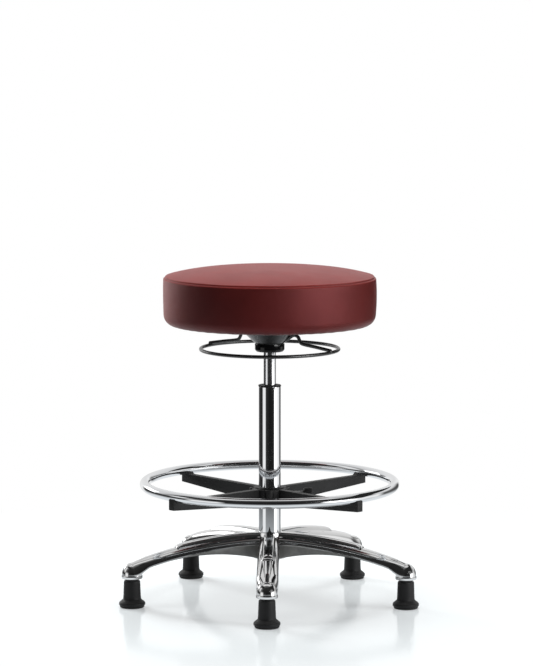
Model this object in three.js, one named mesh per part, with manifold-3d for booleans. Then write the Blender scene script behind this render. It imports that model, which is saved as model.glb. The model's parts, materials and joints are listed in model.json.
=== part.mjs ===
// Height-adjustable round stool: padded vinyl seat on a gas lift, a release ring
// under the seat that works from any side, a clamped foot ring and a cast five-leg
// base on tall bell glides. Millimetres, +Z up, standing on z = 0. The origin is
// on the floor under the middle of the bounding box.

import * as THREE from 'three';
import { mergeVertices } from 'three/addons/utils/BufferGeometryUtils.js';
import Module from 'manifold-3d';

const wasm = await Module();
wasm.setup();

// Clearances
const seatingGap = 0.3;
const slidingGap = 0.4;
const cutOverrun = 6;

// Facets round a turned piece, by size
const pinSides = 8;
const rodSides = 10;
const tubeSides = 16;
const glideSides = 14;
const wideSides = 24;
const seatSides = 34;
const ringSides = 48;
const ringTubeSides = 8;
const ringBoreSides = 5;
const releaseRingSides = 32;
const armSides = 6;

// Glides
const glideCircleRadius = 323;
const glidePadThickness = 4;
const glidePadRadius = 27.5;
const glideRimRadius = 29.5;
const glideRimEdge = 1.8;
const glideRimTop = 12.5;
const glideFlareTop = 24;
const glideFootRadius = 18.4;
const glideTopRadius = 17;
const glideNeckLength = 4.5;
const glideShoulderRound = 2.2;
const glideNeckRadius = 14.6;
const glideStemRadius = 5.5;
const glideStemTaper = 0.2;
const glideStemInsert = 30;
const legCount = 5;
const frontLegAngle = -90;

// Base casting
const legBossHeight = 66;
const legBossRadius = 24;
const legWidth = 49.5;
const legRootRise = 84;
const legKneeReach = 180;
const legKneeRise = 83.5;
const legTipRise = 35.5;
const legSkirtDepth = 20;
const legRoofThickness = 5.5;
const crownExponent = 2.5;
const spineWidth = 29;
const spineRise = 7.5;
const spineReach = 222;
const spineToeLength = 15;
const ridgeRise = 1.4;
const ridgeWidth = 20;
const ridgeTipWidth = 7;
const webInset = 2.5;
const webWall = 4.5;
const webRootRise = 31;
const webKneeReach = 132;
const webKneeRise = 60;
const webEndReach = 240;
const webLip = 1.5;
const ribThickness = 3;
const ribRecess = 5;
const hubTopRise = 91;
const hubBottomRise = 31;
const hubTopRadius = 28.5;
const hubFootRadius = 38;
const hubTopEdge = 1.5;

// Gas lift
const columnRadius = 25;
const columnFootRadius = 23.5;
const columnWall = 2;
const columnFootDrop = 2;
const columnLength = 393;
const bushLipRadius = 25.8;
const bushLipHeight = 3.4;
const bushLipRound = 0.9;
const bushLength = 75;
const endPlateThickness = 4;
const endPlateRecess = 4;
const raceThickness = 2;
const raceRadius = 13;
const raceBoreRadius = 4.7;
const ballRadius = 2.2;
const ballCircleRadius = 9.5;
const ballCount = 8;
const cageThickness = 2.4;
const cageWidth = 3;
const bumperRadius = 9.5;
const bumperHeight = 13;
const rodRadius = 5;
const rodFootRadius = 4;
const rodFootDrop = 6;
const rodGrooveRadius = 3.2;
const clipThickness = 1.2;
const clipRadius = 7;
const clipMouthWidth = 5;
const footWasherRadius = 9;
const footWasherThickness = 1.5;
const pistonRadius = 12.1;
const pistonLength = 12;
const pistonGrooveDepth = 1.6;
const pistonGrooveWidth = 4;
const liftTravelUp = 190;
const liftTravelDown = 65;
const travelSpare = 2;
const pressureTubeRadius = 14;
const pressureTubeWall = 1.5;
const pressureTubeTopRadius = 12.9;
const pressureTubeTopWall = 5;
const tubeGuideLength = 15;
const tubeGuideRecess = 2;
const valveButtonRadius = 4;
const valveButtonRise = 6;
const valveButtonDepth = 9;

// Seat carrier under the seat
const exposedTubeLength = 75.8;
const collarHeight = 18.2;
const collarRadius = 33.6;
const collarRound = 5;
const collarFloor = 8;
const socketRadius = 20;
const socketLength = 29.9;
const taperStartDrop = 2;
const housingWall = 2.5;
const housingNeckRadius = 31;
const housingNeckShow = 2.3;
const housingConeFootRadius = 35.5;
const housingConeTopRadius = 60;
const housingFlangeRadius = 67;
const housingConeRise = 23.8;
const armSlotClearance = 2;
const armSlotSill = 0.8;
const plateWidth = 226;
const plateThickness = 3;
const plateCorner = 10;
const plateTurnAngle = 20;
const plateDishDepth = 13.4;
const plateDishRadius = 70;
const plateDishHoleRadius = 24;
const plateBoltSpacing = 178;

// Release ring and actuator
const releaseRingRadius = 155.6;
const releaseRodRadius = 4;
const releaseRingRise = 5.5;
const releaseArmAngle = -29;
const armJointReach = 158;
const armJointRise = 4.6;
const armBendReach = 83;
const armBendShare = 0.48;
const armHumpOuterReach = 74;
const armHumpReach = 66;
const armHumpInnerReach = 58;
const armSlotReach = 45;
const armSlotRise = 2;
const armEndDrop = 8.8;
const actuatorRadius = 26.4;
const actuatorWall = 2.5;
const actuatorSkirtLength = 17.3;

// Foot ring
const footRingRadius = 283;
const footTubeRadius = 11;
const footTubeWall = 1.7;
const footRingRise = 109;
const spokeAngle = 43.5;
const spokeCount = 4;
const spokeWidth = 16;
const spokeEndBeyond = 12;
const spokeEndDepth = 19.5;
const spokeChannelWidth = 9;
const spokeRoof = 4;
const spokeChannelStart = 52;
const spokeChannelInset = 37;
const cradleHeight = 5;
const cradleLength = 27;
const footHubDrop = 9.5;
const footHubLength = 37;
const footHubRadius = 40.5;
const lobeRadius = 11.5;
const lobeReach = 34.5;
const wellRadius = 4.2;
const wellReach = 38;
const wellDepth = 6;
const sleeveWall = 3.2;
const sleeveFlangeRadius = 33;
const sleeveFlangeThickness = 2;
const sleeveLipRadius = 31;
const sleeveSplitWidth = 3;
const saddleScrewRadius = 2.8;
const saddleScrewHeadRadius = 5.5;
const saddleScrewHeadHeight = 3.6;
const saddleScrewEntry = 7;
const studRadius = 4;
const studRise = 25.7;
const knobStart = 76;
const knobLength = 22;
const knobRadius = 12;
const knobFlute = 0.9;
const knobFluteCount = 8;
const knobEdge = 2;
const knobBoreDepth = 15;

// Seat
const boardRadius = 214;
const boardThickness = 12;
const boardBoreRadius = 4.4;
const dustCoverRadius = 196;
const dustCoverThickness = 1.3;
const coverThickness = 1.6;
const coverHemRadius = 198;
const seatFlatRadius = 217;
const seatCornerHeight = 25;
const seatSideRadius = 240;
const seatBulge = 1.6;
const seatSeamRise = 110.7;
const seatSeamRadius = 232.8;
const seatShoulderDrop = 7;
const seamGrooveDepth = 0.9;
const seamGrooveWidth = 1.6;
const crownRise = 18;
const crownFlatness = 4;
const plateScrewRadius = 3;
const plateScrewHeadRadius = 6.5;
const plateScrewHeadHeight = 4;
const screwCrownShare = 0.75;
const plateScrewTipGap = 1;
const teeNutFlangeRadius = 9;
const teeNutFlangeThickness = 1.2;

// Heights and radii that follow from the driving dimensions
const degree = Math.PI / 180;
const glideShoulderHeight = legBossHeight - glideNeckLength;
const legRootHeight = legBossHeight + legRootRise;
const legKneeHeight = legBossHeight + legKneeRise;
const legTipHeight = legBossHeight + legTipRise;
const webRootHeight = legBossHeight + webRootRise;
const webKneeHeight = legBossHeight + webKneeRise;
const hubTopHeight = legBossHeight + hubTopRise;
const hubBottomHeight = legBossHeight + hubBottomRise;
const columnInnerRadius = columnRadius - columnWall;
const columnFootInnerRadius = columnFootRadius - columnWall;
const columnBottomHeight = hubBottomHeight - columnFootDrop;
const columnTopHeight = columnBottomHeight + columnLength;
const bushLipTop = columnTopHeight + seatingGap + bushLipHeight;
const collarBottomHeight = bushLipTop + exposedTubeLength;
const collarTopHeight = collarBottomHeight + collarHeight;
const socketBottomHeight = collarBottomHeight + seatingGap;
const socketTopHeight = socketBottomHeight + socketLength;
const housingConeFootHeight = collarTopHeight + housingNeckShow;
const housingFlangeHeight = housingConeFootHeight + housingConeRise;
const armSlotBottomHeight = collarTopHeight + armSlotSill;
const releaseRingHeight = collarBottomHeight + releaseRingRise;
const armJointHeight = releaseRingHeight + armJointRise;
const footRingHeight = hubTopHeight + footRingRise;
const footHubTop = footRingHeight - footHubDrop;
const footHubBottom = footHubTop - footHubLength;
const studHeight = footHubBottom + studRise;
const endPlateBottom = columnBottomHeight + endPlateRecess;
const endPlateTop = endPlateBottom + endPlateThickness;
const lowerRaceBottom = endPlateTop + seatingGap;
const lowerRaceTop = lowerRaceBottom + raceThickness;
const ballCentreHeight = lowerRaceTop + seatingGap + ballRadius;
const upperRaceBottom = ballCentreHeight + ballRadius + seatingGap;
const upperRaceTop = upperRaceBottom + raceThickness;
const rodShoulderHeight = upperRaceTop + seatingGap;
const bumperTop = rodShoulderHeight + bumperHeight;
const tubeBottomHeight = bumperTop + liftTravelDown + travelSpare;
const tubeGuideBottom = tubeBottomHeight + tubeGuideRecess;
const tubeGuideTop = tubeGuideBottom + tubeGuideLength;
const pistonBottom = tubeGuideTop + liftTravelUp + travelSpare;
const pistonTop = pistonBottom + pistonLength;
const tubeTopHeight = socketTopHeight + seatingGap;
const tubeInnerRadius = pressureTubeRadius - pressureTubeWall;
const taperBottomHeight = collarBottomHeight - taperStartDrop;
const valveButtonTop = tubeTopHeight + valveButtonRise;
const actuatorBottom = valveButtonTop + seatingGap;
const actuatorTop = actuatorBottom + actuatorWall;
const actuatorSkirtBottom = actuatorBottom - actuatorSkirtLength;
const armEndHeight = actuatorBottom - armEndDrop;
const armSlotHeight = armEndHeight + armSlotRise;
const armHumpHeight = housingFlangeHeight - seatingGap - releaseRodRadius;
const armBendHeight = THREE.MathUtils.lerp(releaseRingHeight, armHumpHeight, armBendShare);
const dishBottomHeight = housingFlangeHeight + housingWall + seatingGap;
const plateTopHeight = dishBottomHeight + plateDishDepth;
const plateBottomHeight = plateTopHeight - plateThickness;
const coverBottomHeight = plateTopHeight + seatingGap;
const seatSeamHeight = coverBottomHeight + seatSeamRise;
const boardBottomHeight = coverBottomHeight + coverThickness + seatingGap;
const boardTopHeight = boardBottomHeight + boardThickness;
const sleeveInnerRadius = columnRadius + slidingGap;
const sleeveOuterRadius = sleeveInnerRadius + sleeveWall;
const footHubBoreRadius = sleeveOuterRadius + slidingGap;
const saddleTopHeight = footRingHeight - footTubeRadius - seatingGap;
const spokeEndReach = footRingRadius + spokeEndBeyond;
const spokeEndBottom = footHubTop - spokeEndDepth;
const spokeChannelEnd = spokeEndReach - spokeChannelInset;
const backReach = footRingRadius + footTubeRadius;
const frontReach = glideCircleRadius + glideRimRadius;
const floorCentreShift = (frontReach - backReach) / 2;

// Materials
const finish = (color, roughness, metalness) =>
  new THREE.MeshStandardMaterial({ color, roughness, metalness });
const vinyl = finish(0x6e2828, 0.45, 0);
const foam = finish(0xe3dcc0, 0.95, 0);
const plywood = finish(0xc69a66, 0.75, 0);
const fleece = finish(0x222222, 0.95, 0);
const chrome = finish(0xd9dcdf, 0.08, 1);
const aluminium = finish(0xc9ccce, 0.14, 1);
const steel = finish(0x9a9da0, 0.35, 1);
const greySteel = finish(0x565a5c, 0.4, 0.3);
const blackSteel = finish(0x161616, 0.3, 0.2);
const blackNylon = finish(0x1b1b1c, 0.55, 0);
const blackGloss = finish(0x0c0c0d, 0.2, 0);
const rubber = finish(0x202020, 0.8, 0);
const whiteNylon = finish(0xd8d8d0, 0.5, 0);

// Geometry helpers

// Closed indexed mesh with shared corners and its faces pointing out
function closed(geometry) {
  const bare = geometry.index ? geometry.clone() : geometry;
  for (const name of Object.keys(bare.attributes)) {
    if (name !== 'position') bare.deleteAttribute(name);
  }
  bare.clearGroups();
  const welded = mergeVertices(bare);
  const corner = welded.index.array;
  const kept = [];
  for (let i = 0; i < corner.length; i += 3) {
    const [a, b, c] = [corner[i], corner[i + 1], corner[i + 2]];
    if (a !== b && b !== c && c !== a) kept.push(a, b, c);
  }
  if (signedVolume(welded, kept) < 0) kept.reverse();
  welded.setIndex(kept);
  return welded;
}

function signedVolume(geometry, corners) {
  const place = geometry.getAttribute('position');
  const [a, b, c] = [new THREE.Vector3(), new THREE.Vector3(), new THREE.Vector3()];
  let sum = 0;
  for (let i = 0; i < corners.length; i += 3) {
    a.fromBufferAttribute(place, corners[i]);
    b.fromBufferAttribute(place, corners[i + 1]);
    c.fromBufferAttribute(place, corners[i + 2]);
    sum += a.dot(b.cross(c));
  }
  return sum;
}

function solid(geometry) {
  const mesh = closed(geometry);
  return new wasm.Manifold(new wasm.Mesh({
    numProp: 3,
    vertProperties: Float32Array.from(mesh.getAttribute('position').array),
    triVerts: Uint32Array.from(mesh.index.array),
  }));
}

function geometryOf(manifold) {
  const mesh = manifold.getMesh();
  const geometry = new THREE.BufferGeometry();
  geometry.setAttribute('position', new THREE.BufferAttribute(mesh.vertProperties, 3));
  geometry.setIndex(new THREE.BufferAttribute(mesh.triVerts, 1));
  return geometry;
}

const join = (parts) => parts.reduce((whole, part) => whole.add(part));
const cut = (body, cutters) => cutters.reduce((left, cutter) => left.subtract(cutter), body);

// Turned piece from [radius, height] pairs that start and end on the axis
function turned(profile, sides) {
  const points = profile.map(([radius, height]) => new THREE.Vector2(radius, height));
  return new THREE.LatheGeometry(points, sides).rotateX(Math.PI / 2);
}

// Turned piece with a bore: the profile closes on itself
const turnedRing = (profile, sides) => turned([...profile, profile[0]], sides);

function rod(radius, bottom, top, sides = pinSides) {
  return turned([[0, bottom], [radius, bottom], [radius, top], [0, top]], sides);
}

function washer(innerRadius, outerRadius, bottom, top, sides = rodSides) {
  return turnedRing([
    [innerRadius, bottom], [outerRadius, bottom], [outerRadius, top], [innerRadius, top],
  ], sides);
}

// Points of a quarter round between two profile points, bulging outwards
function quarterRound(centre, radii, fromAngle, toAngle, steps) {
  const points = [];
  for (let i = 0; i <= steps; i += 1) {
    const angle = (fromAngle + (toAngle - fromAngle) * (i / steps)) * degree;
    points.push([centre[0] + radii[0] * Math.cos(angle), centre[1] + radii[1] * Math.sin(angle)]);
  }
  return points;
}

// Skin between matching sections, each a closed loop of points, with flat ends
function loft(sections, endFaces) {
  const count = sections[0].length;
  const places = sections.flat().flatMap((point) => [point.x, point.y, point.z]);
  const corners = [];
  for (let ring = 0; ring + 1 < sections.length; ring += 1) {
    for (let i = 0; i < count; i += 1) {
      const here = ring * count + i;
      const next = ring * count + ((i + 1) % count);
      corners.push(here, next, here + count, next, next + count, here + count);
    }
  }
  const last = (sections.length - 1) * count;
  for (const [a, b, c] of endFaces) {
    corners.push(a, c, b, last + a, last + b, last + c);
  }
  const geometry = new THREE.BufferGeometry();
  geometry.setAttribute('position', new THREE.Float32BufferAttribute(places, 3));
  geometry.setIndex(corners);
  return geometry;
}

// Height of a sagging or arching line at a given reach from the column
function heightOn(curve, reach) {
  let [low, high] = [0, 1];
  for (let i = 0; i < 40; i += 1) {
    const middle = (low + high) / 2;
    if (curve.getPoint(middle).x < reach) low = middle;
    else high = middle;
  }
  return curve.getPoint(high).y;
}

function box(sizeX, sizeY, sizeZ, x, y, z) {
  return new THREE.BoxGeometry(sizeX, sizeY, sizeZ).translate(x, y, z);
}

// Base casting

const legCrest = new THREE.QuadraticBezierCurve(
  new THREE.Vector2(columnRadius, legRootHeight),
  new THREE.Vector2(legKneeReach, legKneeHeight),
  new THREE.Vector2(glideCircleRadius, legTipHeight),
);
const webArch = new THREE.QuadraticBezierCurve(
  new THREE.Vector2(columnRadius, webRootHeight),
  new THREE.Vector2(webKneeReach, webKneeHeight),
  new THREE.Vector2(webEndReach, heightOn(legCrest, webEndReach) - legSkirtDepth - webLip),
);

// Rise and half width of the raised spine, and of the low ridge past its toe
function spineAt(reach) {
  const toeStart = spineReach - spineToeLength;
  if (reach >= spineReach) {
    const share = (reach - spineReach) / (glideCircleRadius - spineReach);
    return { rise: ridgeRise, half: THREE.MathUtils.lerp(ridgeWidth, ridgeTipWidth, share) / 2 };
  }
  const toeShare = Math.max(0, reach - toeStart) / spineToeLength;
  const roundness = Math.sqrt(1 - toeShare ** 2);
  return {
    rise: ridgeRise + (spineRise - ridgeRise) * roundness,
    half: (ridgeWidth + (spineWidth - ridgeWidth) * roundness) / 2,
  };
}

const crownSideShares = [1, 0.96, 0.8];
const spineAcrossShares = [1, 0.88, 0.5];
const spineRiseShares = [0, 0.66, 0.96];

// One closed section of the leg: polished crown outside, open channel inside
function legSection(reach) {
  const half = legWidth / 2;
  const crest = heightOn(legCrest, reach);
  const skirt = crest - legSkirtDepth;
  const web = reach < webEndReach ? Math.min(heightOn(webArch, reach), skirt - webLip) : skirt - webLip;
  const roof = crest - legRoofThickness;
  const cavity = half - webInset - webWall;
  const spine = spineAt(reach);
  const crown = (across) => {
    const level = 1 - (Math.abs(across) / half) ** crownExponent;
    return skirt + legSkirtDepth * Math.max(0, level) ** (1 / crownExponent);
  };
  const side = crownSideShares.map((share) => [half * share, crown(half * share)]);
  spineAcrossShares.forEach((share, i) => {
    const across = spine.half * share;
    side.push([across, crown(across) + spine.rise * spineRiseShares[i]]);
  });
  const under = [
    [cavity, roof], [cavity, web], [half - webInset, web], [half - webInset, skirt],
  ];
  const right = [...under, ...side];
  const left = right.map(([across, height]) => [-across, height]).reverse();
  return [...right, [0, crest + spine.rise], ...left]
    .map(([across, height]) => new THREE.Vector3(reach, across, height));
}

const legStationShares = [0, 0.13, 0.28, 0.43];
const toeStationShares = [0, 0.6, 0.9];
const tipStationShares = [0, 0.25, 0.6, 1];
const ribShares = [0.34, 0.52];
const domeShares = [0.5];

function leg() {
  const length = glideCircleRadius - columnRadius;
  const toeStart = spineReach - spineToeLength;
  const reaches = [
    ...legStationShares.map((share) => columnRadius + length * share),
    ...toeStationShares.map((share) => toeStart + spineToeLength * share),
    ...tipStationShares.map((share) => spineReach + (glideCircleRadius - spineReach) * share),
  ];
  const sections = reaches.map(legSection);
  const outline = sections[0].map((point) => new THREE.Vector2(point.y, point.z));
  const channel = solid(loft(sections, THREE.ShapeUtils.triangulateShape(outline, [])));
  const cavityWidth = legWidth - 2 * (webInset + webWall);
  const ribs = ribShares.map((share) => {
    const reach = columnRadius + length * share;
    const bottom = heightOn(webArch, reach) + ribRecess;
    const top = heightOn(legCrest, reach) - legRoofThickness / 2;
    return solid(box(ribThickness, cavityWidth + webWall, top - bottom, reach, 0, (bottom + top) / 2));
  });
  return join([channel, ...ribs, legTip()]);
}

// Rounded boss over the glide, with the leg's crown turned about its axis
function legTip() {
  const skirt = legTipHeight - legSkirtDepth;
  const profile = [...crownSideShares.slice(1), ...domeShares].map((share) => [
    legBossRadius * share,
    skirt + legSkirtDepth * (1 - share ** crownExponent) ** (1 / crownExponent),
  ]);
  const boss = turned([
    [0, legBossHeight], [legBossRadius, legBossHeight], [legBossRadius, skirt],
    ...profile, [0, legTipHeight],
  ], glideSides);
  return solid(boss.translate(glideCircleRadius, 0, 0));
}

const legAngles = Array.from({ length: legCount }, (_, i) => frontLegAngle + (360 / legCount) * i);

function baseCasting() {
  const hubFlare = quarterRound(
    [hubFootRadius, hubTopHeight], [hubFootRadius - hubTopRadius, (hubTopHeight - hubBottomHeight) / 2],
    270, 180, 3,
  ).slice(0, -1);
  const hub = solid(turned([
    [0, hubBottomHeight], [hubFootRadius, hubBottomHeight], ...hubFlare,
    [hubTopRadius, hubTopHeight - hubTopEdge], [hubTopRadius - hubTopEdge, hubTopHeight], [0, hubTopHeight],
  ], wideSides));
  const oneLeg = leg();
  const legs = legAngles.map((angle) => oneLeg.rotate([0, 0, angle]));
  const taperDrop = (columnRadius - columnFootRadius) / (hubTopHeight - columnBottomHeight);
  const cutBottom = hubBottomHeight - cutOverrun;
  const bore = solid(turned([
    [0, cutBottom],
    [columnRadius - taperDrop * (hubTopHeight - cutBottom) + seatingGap, cutBottom],
    [columnRadius + seatingGap, hubTopHeight], [columnRadius + seatingGap, hubTopHeight + cutOverrun],
    [0, hubTopHeight + cutOverrun],
  ], wideSides));
  const stemHole = solid(rod(
    glideStemRadius + seatingGap, legBossHeight - cutOverrun, legBossHeight + glideStemInsert + seatingGap,
  ).translate(glideCircleRadius, 0, 0));
  const stemHoles = legAngles.map((angle) => stemHole.rotate([0, 0, angle]));
  return geometryOf(cut(join([hub, ...legs]), [bore, ...stemHoles]));
}

// Glides, built on their own axis

function glideBody() {
  const bore = glideStemRadius + slidingGap;
  const flare = quarterRound(
    [glideRimRadius - glideRimEdge, glideFlareTop],
    [glideRimRadius - glideRimEdge - glideFootRadius, glideFlareTop - glideRimTop], 270, 180, 3,
  );
  return turnedRing([
    [bore, glidePadThickness], [glidePadRadius, glidePadThickness],
    [glideRimRadius, glidePadThickness + glideRimEdge], [glideRimRadius, glideRimTop - glideRimEdge],
    ...flare,
    [glideTopRadius, glideShoulderHeight - glideShoulderRound],
    [glideNeckRadius, glideShoulderHeight], [glideNeckRadius, legBossHeight - seatingGap],
    [bore, legBossHeight - seatingGap],
  ], glideSides);
}

function glidePad() {
  return turned([
    [0, 0], [glidePadRadius - glideRimEdge, 0],
    [glidePadRadius, glidePadThickness - seatingGap], [0, glidePadThickness - seatingGap],
  ], glideSides);
}

function glideStem() {
  const top = legBossHeight + glideStemInsert;
  return turned([
    [0, glidePadThickness], [glideStemRadius, glidePadThickness],
    [glideStemRadius - glideStemTaper, top], [0, top],
  ], pinSides);
}

// Gas lift

function columnTube() {
  return turnedRing([
    [columnFootInnerRadius, columnBottomHeight], [columnFootRadius, columnBottomHeight],
    [columnRadius, hubTopHeight], [columnRadius, columnTopHeight],
    [columnInnerRadius, columnTopHeight], [columnInnerRadius, hubTopHeight],
  ], wideSides);
}

function guideBush() {
  const bore = pressureTubeRadius + slidingGap;
  return turnedRing([
    [bore, columnTopHeight - bushLength], [columnInnerRadius - seatingGap, columnTopHeight - bushLength],
    [columnInnerRadius - seatingGap, columnTopHeight + seatingGap],
    [bushLipRadius, columnTopHeight + seatingGap], [bushLipRadius, bushLipTop - bushLipRound],
    [bushLipRadius - bushLipRound, bushLipTop], [bore, bushLipTop],
  ], wideSides);
}

function ballCage() {
  const ring = solid(washer(
    ballCircleRadius - cageWidth, ballCircleRadius + cageWidth,
    ballCentreHeight - cageThickness / 2, ballCentreHeight + cageThickness / 2, rodSides,
  ));
  const balls = Array.from({ length: ballCount }, (_, i) => {
    const ball = new THREE.SphereGeometry(ballRadius, 6, 4);
    return solid(ball.translate(ballCircleRadius, 0, ballCentreHeight)).rotate([0, 0, (360 / ballCount) * i]);
  });
  return geometryOf(join([ring, ...balls]));
}

const clipTop = columnBottomHeight + endPlateRecess - seatingGap - footWasherThickness - seatingGap;
const rodBottomHeight = clipTop - clipThickness - rodFootDrop;

function pistonRod() {
  return turned([
    [0, rodBottomHeight], [rodFootRadius, rodBottomHeight],
    [rodFootRadius, clipTop - clipThickness - seatingGap],
    [rodGrooveRadius, clipTop - clipThickness - seatingGap],
    [rodGrooveRadius, clipTop + seatingGap], [rodFootRadius, clipTop + seatingGap],
    [rodFootRadius, rodShoulderHeight], [rodRadius, rodShoulderHeight], [rodRadius, pistonTop], [0, pistonTop],
  ], rodSides);
}

function piston() {
  const bore = rodRadius + seatingGap;
  const grooveBottom = (pistonBottom + pistonTop - pistonGrooveWidth) / 2;
  const grooveTop = grooveBottom + pistonGrooveWidth;
  return turnedRing([
    [bore, pistonBottom], [pistonRadius, pistonBottom], [pistonRadius, grooveBottom],
    [pistonRadius - pistonGrooveDepth, grooveBottom], [pistonRadius - pistonGrooveDepth, grooveTop],
    [pistonRadius, grooveTop], [pistonRadius, pistonTop], [bore, pistonTop],
  ], tubeSides);
}

function retainingClip() {
  const clearRadius = rodGrooveRadius + seatingGap;
  const ring = solid(washer(clearRadius, clipRadius, clipTop - clipThickness, clipTop));
  const mouth = solid(box(
    clipRadius + cutOverrun, clipMouthWidth, clipThickness + cutOverrun,
    (clipRadius + cutOverrun) / 2, 0, clipTop - clipThickness / 2,
  ));
  return geometryOf(cut(ring, [mouth]));
}

function pressureTube() {
  const topInner = tubeTopHeight - pressureTubeTopWall;
  const buttonBore = valveButtonRadius + slidingGap;
  return turnedRing([
    [tubeInnerRadius, tubeBottomHeight], [pressureTubeRadius, tubeBottomHeight],
    [pressureTubeRadius, taperBottomHeight], [pressureTubeTopRadius, tubeTopHeight],
    [buttonBore, tubeTopHeight], [buttonBore, topInner],
    [pressureTubeTopRadius - pressureTubeWall, topInner], [tubeInnerRadius, taperBottomHeight],
  ], tubeSides);
}

// Seat carrier

const tubeRadiusAt = (height) => {
  const share = (height - taperBottomHeight) / (tubeTopHeight - taperBottomHeight);
  return THREE.MathUtils.lerp(pressureTubeRadius, pressureTubeTopRadius, share);
};

function taperSocket() {
  return turnedRing([
    [tubeRadiusAt(socketBottomHeight) + seatingGap, socketBottomHeight], [socketRadius, socketBottomHeight],
    [socketRadius, socketTopHeight], [tubeRadiusAt(socketTopHeight) + seatingGap, socketTopHeight],
  ], tubeSides);
}

const housingFloorBottom = collarBottomHeight + collarFloor + seatingGap;

function mechanismHousing() {
  const floorTop = housingFloorBottom + housingWall;
  const flangeTop = housingFlangeHeight + housingWall;
  const innerNeck = housingNeckRadius - housingWall;
  const shell = solid(turnedRing([
    [socketRadius + seatingGap, housingFloorBottom], [housingNeckRadius, housingFloorBottom],
    [housingNeckRadius, housingConeFootHeight], [housingConeFootRadius, housingConeFootHeight],
    [housingConeTopRadius, housingFlangeHeight], [housingFlangeRadius, housingFlangeHeight],
    [housingFlangeRadius, flangeTop], [housingConeTopRadius - housingWall, flangeTop],
    [housingConeFootRadius - housingWall, housingConeFootHeight + housingWall],
    [innerNeck, housingConeFootHeight + housingWall], [innerNeck, floorTop],
    [socketRadius + seatingGap, floorTop],
  ], wideSides));
  const slotWidth = 2 * (releaseRodRadius + armSlotClearance);
  const slotHeight = housingFlangeHeight - armSlotBottomHeight;
  const slotStart = innerNeck - cutOverrun / 2;
  const slotEnd = housingConeTopRadius + cutOverrun / 2;
  const slots = [0, 180].map((turn) => solid(box(
    slotEnd - slotStart, slotWidth, slotHeight,
    (slotEnd + slotStart) / 2, 0, armSlotBottomHeight + slotHeight / 2,
  )).rotate([0, 0, releaseArmAngle + turn]));
  return geometryOf(cut(shell, slots));
}

function socketCollar() {
  const round = quarterRound(
    [collarRadius - collarRound, collarBottomHeight + collarRound], [collarRound, collarRound], 270, 360, 2,
  );
  const floorTop = collarBottomHeight + collarFloor;
  return turnedRing([
    [socketRadius + seatingGap, collarBottomHeight], ...round, [collarRadius, collarTopHeight],
    [housingNeckRadius + seatingGap, collarTopHeight], [housingNeckRadius + seatingGap, floorTop],
    [socketRadius + seatingGap, floorTop],
  ], wideSides);
}

// Square with rounded corners, centred on the origin
function roundedSquare(side, radius) {
  const half = side / 2;
  const inner = half - radius;
  const shape = new THREE.Shape();
  [[inner, inner, 0], [-inner, inner, 90], [-inner, -inner, 180], [inner, -inner, 270]]
    .forEach(([x, y, start]) => {
      shape.absarc(x, y, radius, start * degree, (start + 90) * degree, false);
    });
  return shape;
}

const boltCorners = [45, 135, 225, 315].map((angle) => {
  const reach = plateBoltSpacing / Math.SQRT2;
  const turn = (angle + plateTurnAngle) * degree;
  return [reach * Math.cos(turn), reach * Math.sin(turn)];
});

function mountingPlate() {
  const sheet = solid(new THREE.ExtrudeGeometry(roundedSquare(plateWidth, plateCorner), {
    depth: plateThickness, bevelEnabled: false, curveSegments: 3,
  }).rotateZ(plateTurnAngle * degree).translate(0, 0, plateBottomHeight));
  const dishInner = plateDishRadius - plateThickness;
  const dish = solid(turnedRing([
    [plateDishHoleRadius, dishBottomHeight], [dishInner, dishBottomHeight],
    [plateDishRadius, dishBottomHeight + plateThickness], [plateDishRadius, plateTopHeight],
    [dishInner, plateTopHeight], [dishInner, dishBottomHeight + plateThickness],
    [plateDishHoleRadius, dishBottomHeight + plateThickness],
  ], wideSides));
  const opening = solid(rod(
    dishInner, plateBottomHeight - seatingGap, plateTopHeight + cutOverrun, wideSides,
  ));
  const boltHoles = boltCorners.map(([x, y]) => solid(rod(
    plateScrewRadius + seatingGap, plateBottomHeight - cutOverrun, plateTopHeight + cutOverrun,
  ).translate(x, y, 0)));
  return geometryOf(cut(cut(sheet, [opening]).add(dish), boltHoles));
}

function plateScrew() {
  const headBottom = plateBottomHeight - seatingGap - plateScrewHeadHeight;
  return turned([
    [0, headBottom], [plateScrewHeadRadius * screwCrownShare, headBottom],
    [plateScrewHeadRadius, headBottom + plateScrewHeadHeight],
    [plateScrewRadius, headBottom + plateScrewHeadHeight],
    [plateScrewRadius, boardTopHeight - plateScrewTipGap], [0, boardTopHeight - plateScrewTipGap],
  ], pinSides);
}

function teeNut() {
  const bore = plateScrewRadius + seatingGap;
  const barrel = boardBoreRadius - seatingGap;
  return turnedRing([
    [bore, boardBottomHeight + teeNutFlangeThickness], [barrel, boardBottomHeight + teeNutFlangeThickness],
    [barrel, boardTopHeight - teeNutFlangeThickness], [teeNutFlangeRadius, boardTopHeight - teeNutFlangeThickness],
    [teeNutFlangeRadius, boardTopHeight], [bore, boardTopHeight],
  ], pinSides);
}

// Release ring

function armCurve() {
  return new THREE.CatmullRomCurve3([
    new THREE.Vector3(armJointReach, 0, armJointHeight),
    new THREE.Vector3((armJointReach + armBendReach) / 2, 0, (armJointHeight + armBendHeight) / 2),
    new THREE.Vector3(armBendReach, 0, armBendHeight),
    new THREE.Vector3(armHumpOuterReach, 0, armHumpHeight - releaseRodRadius),
    new THREE.Vector3(armHumpReach, 0, armHumpHeight),
    new THREE.Vector3(armHumpInnerReach, 0, armHumpHeight - releaseRodRadius / 2),
    new THREE.Vector3(armSlotReach, 0, armSlotHeight),
    new THREE.Vector3(actuatorRadius - actuatorWall, 0, armEndHeight),
  ], false, 'catmullrom', 0.35);
}

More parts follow.
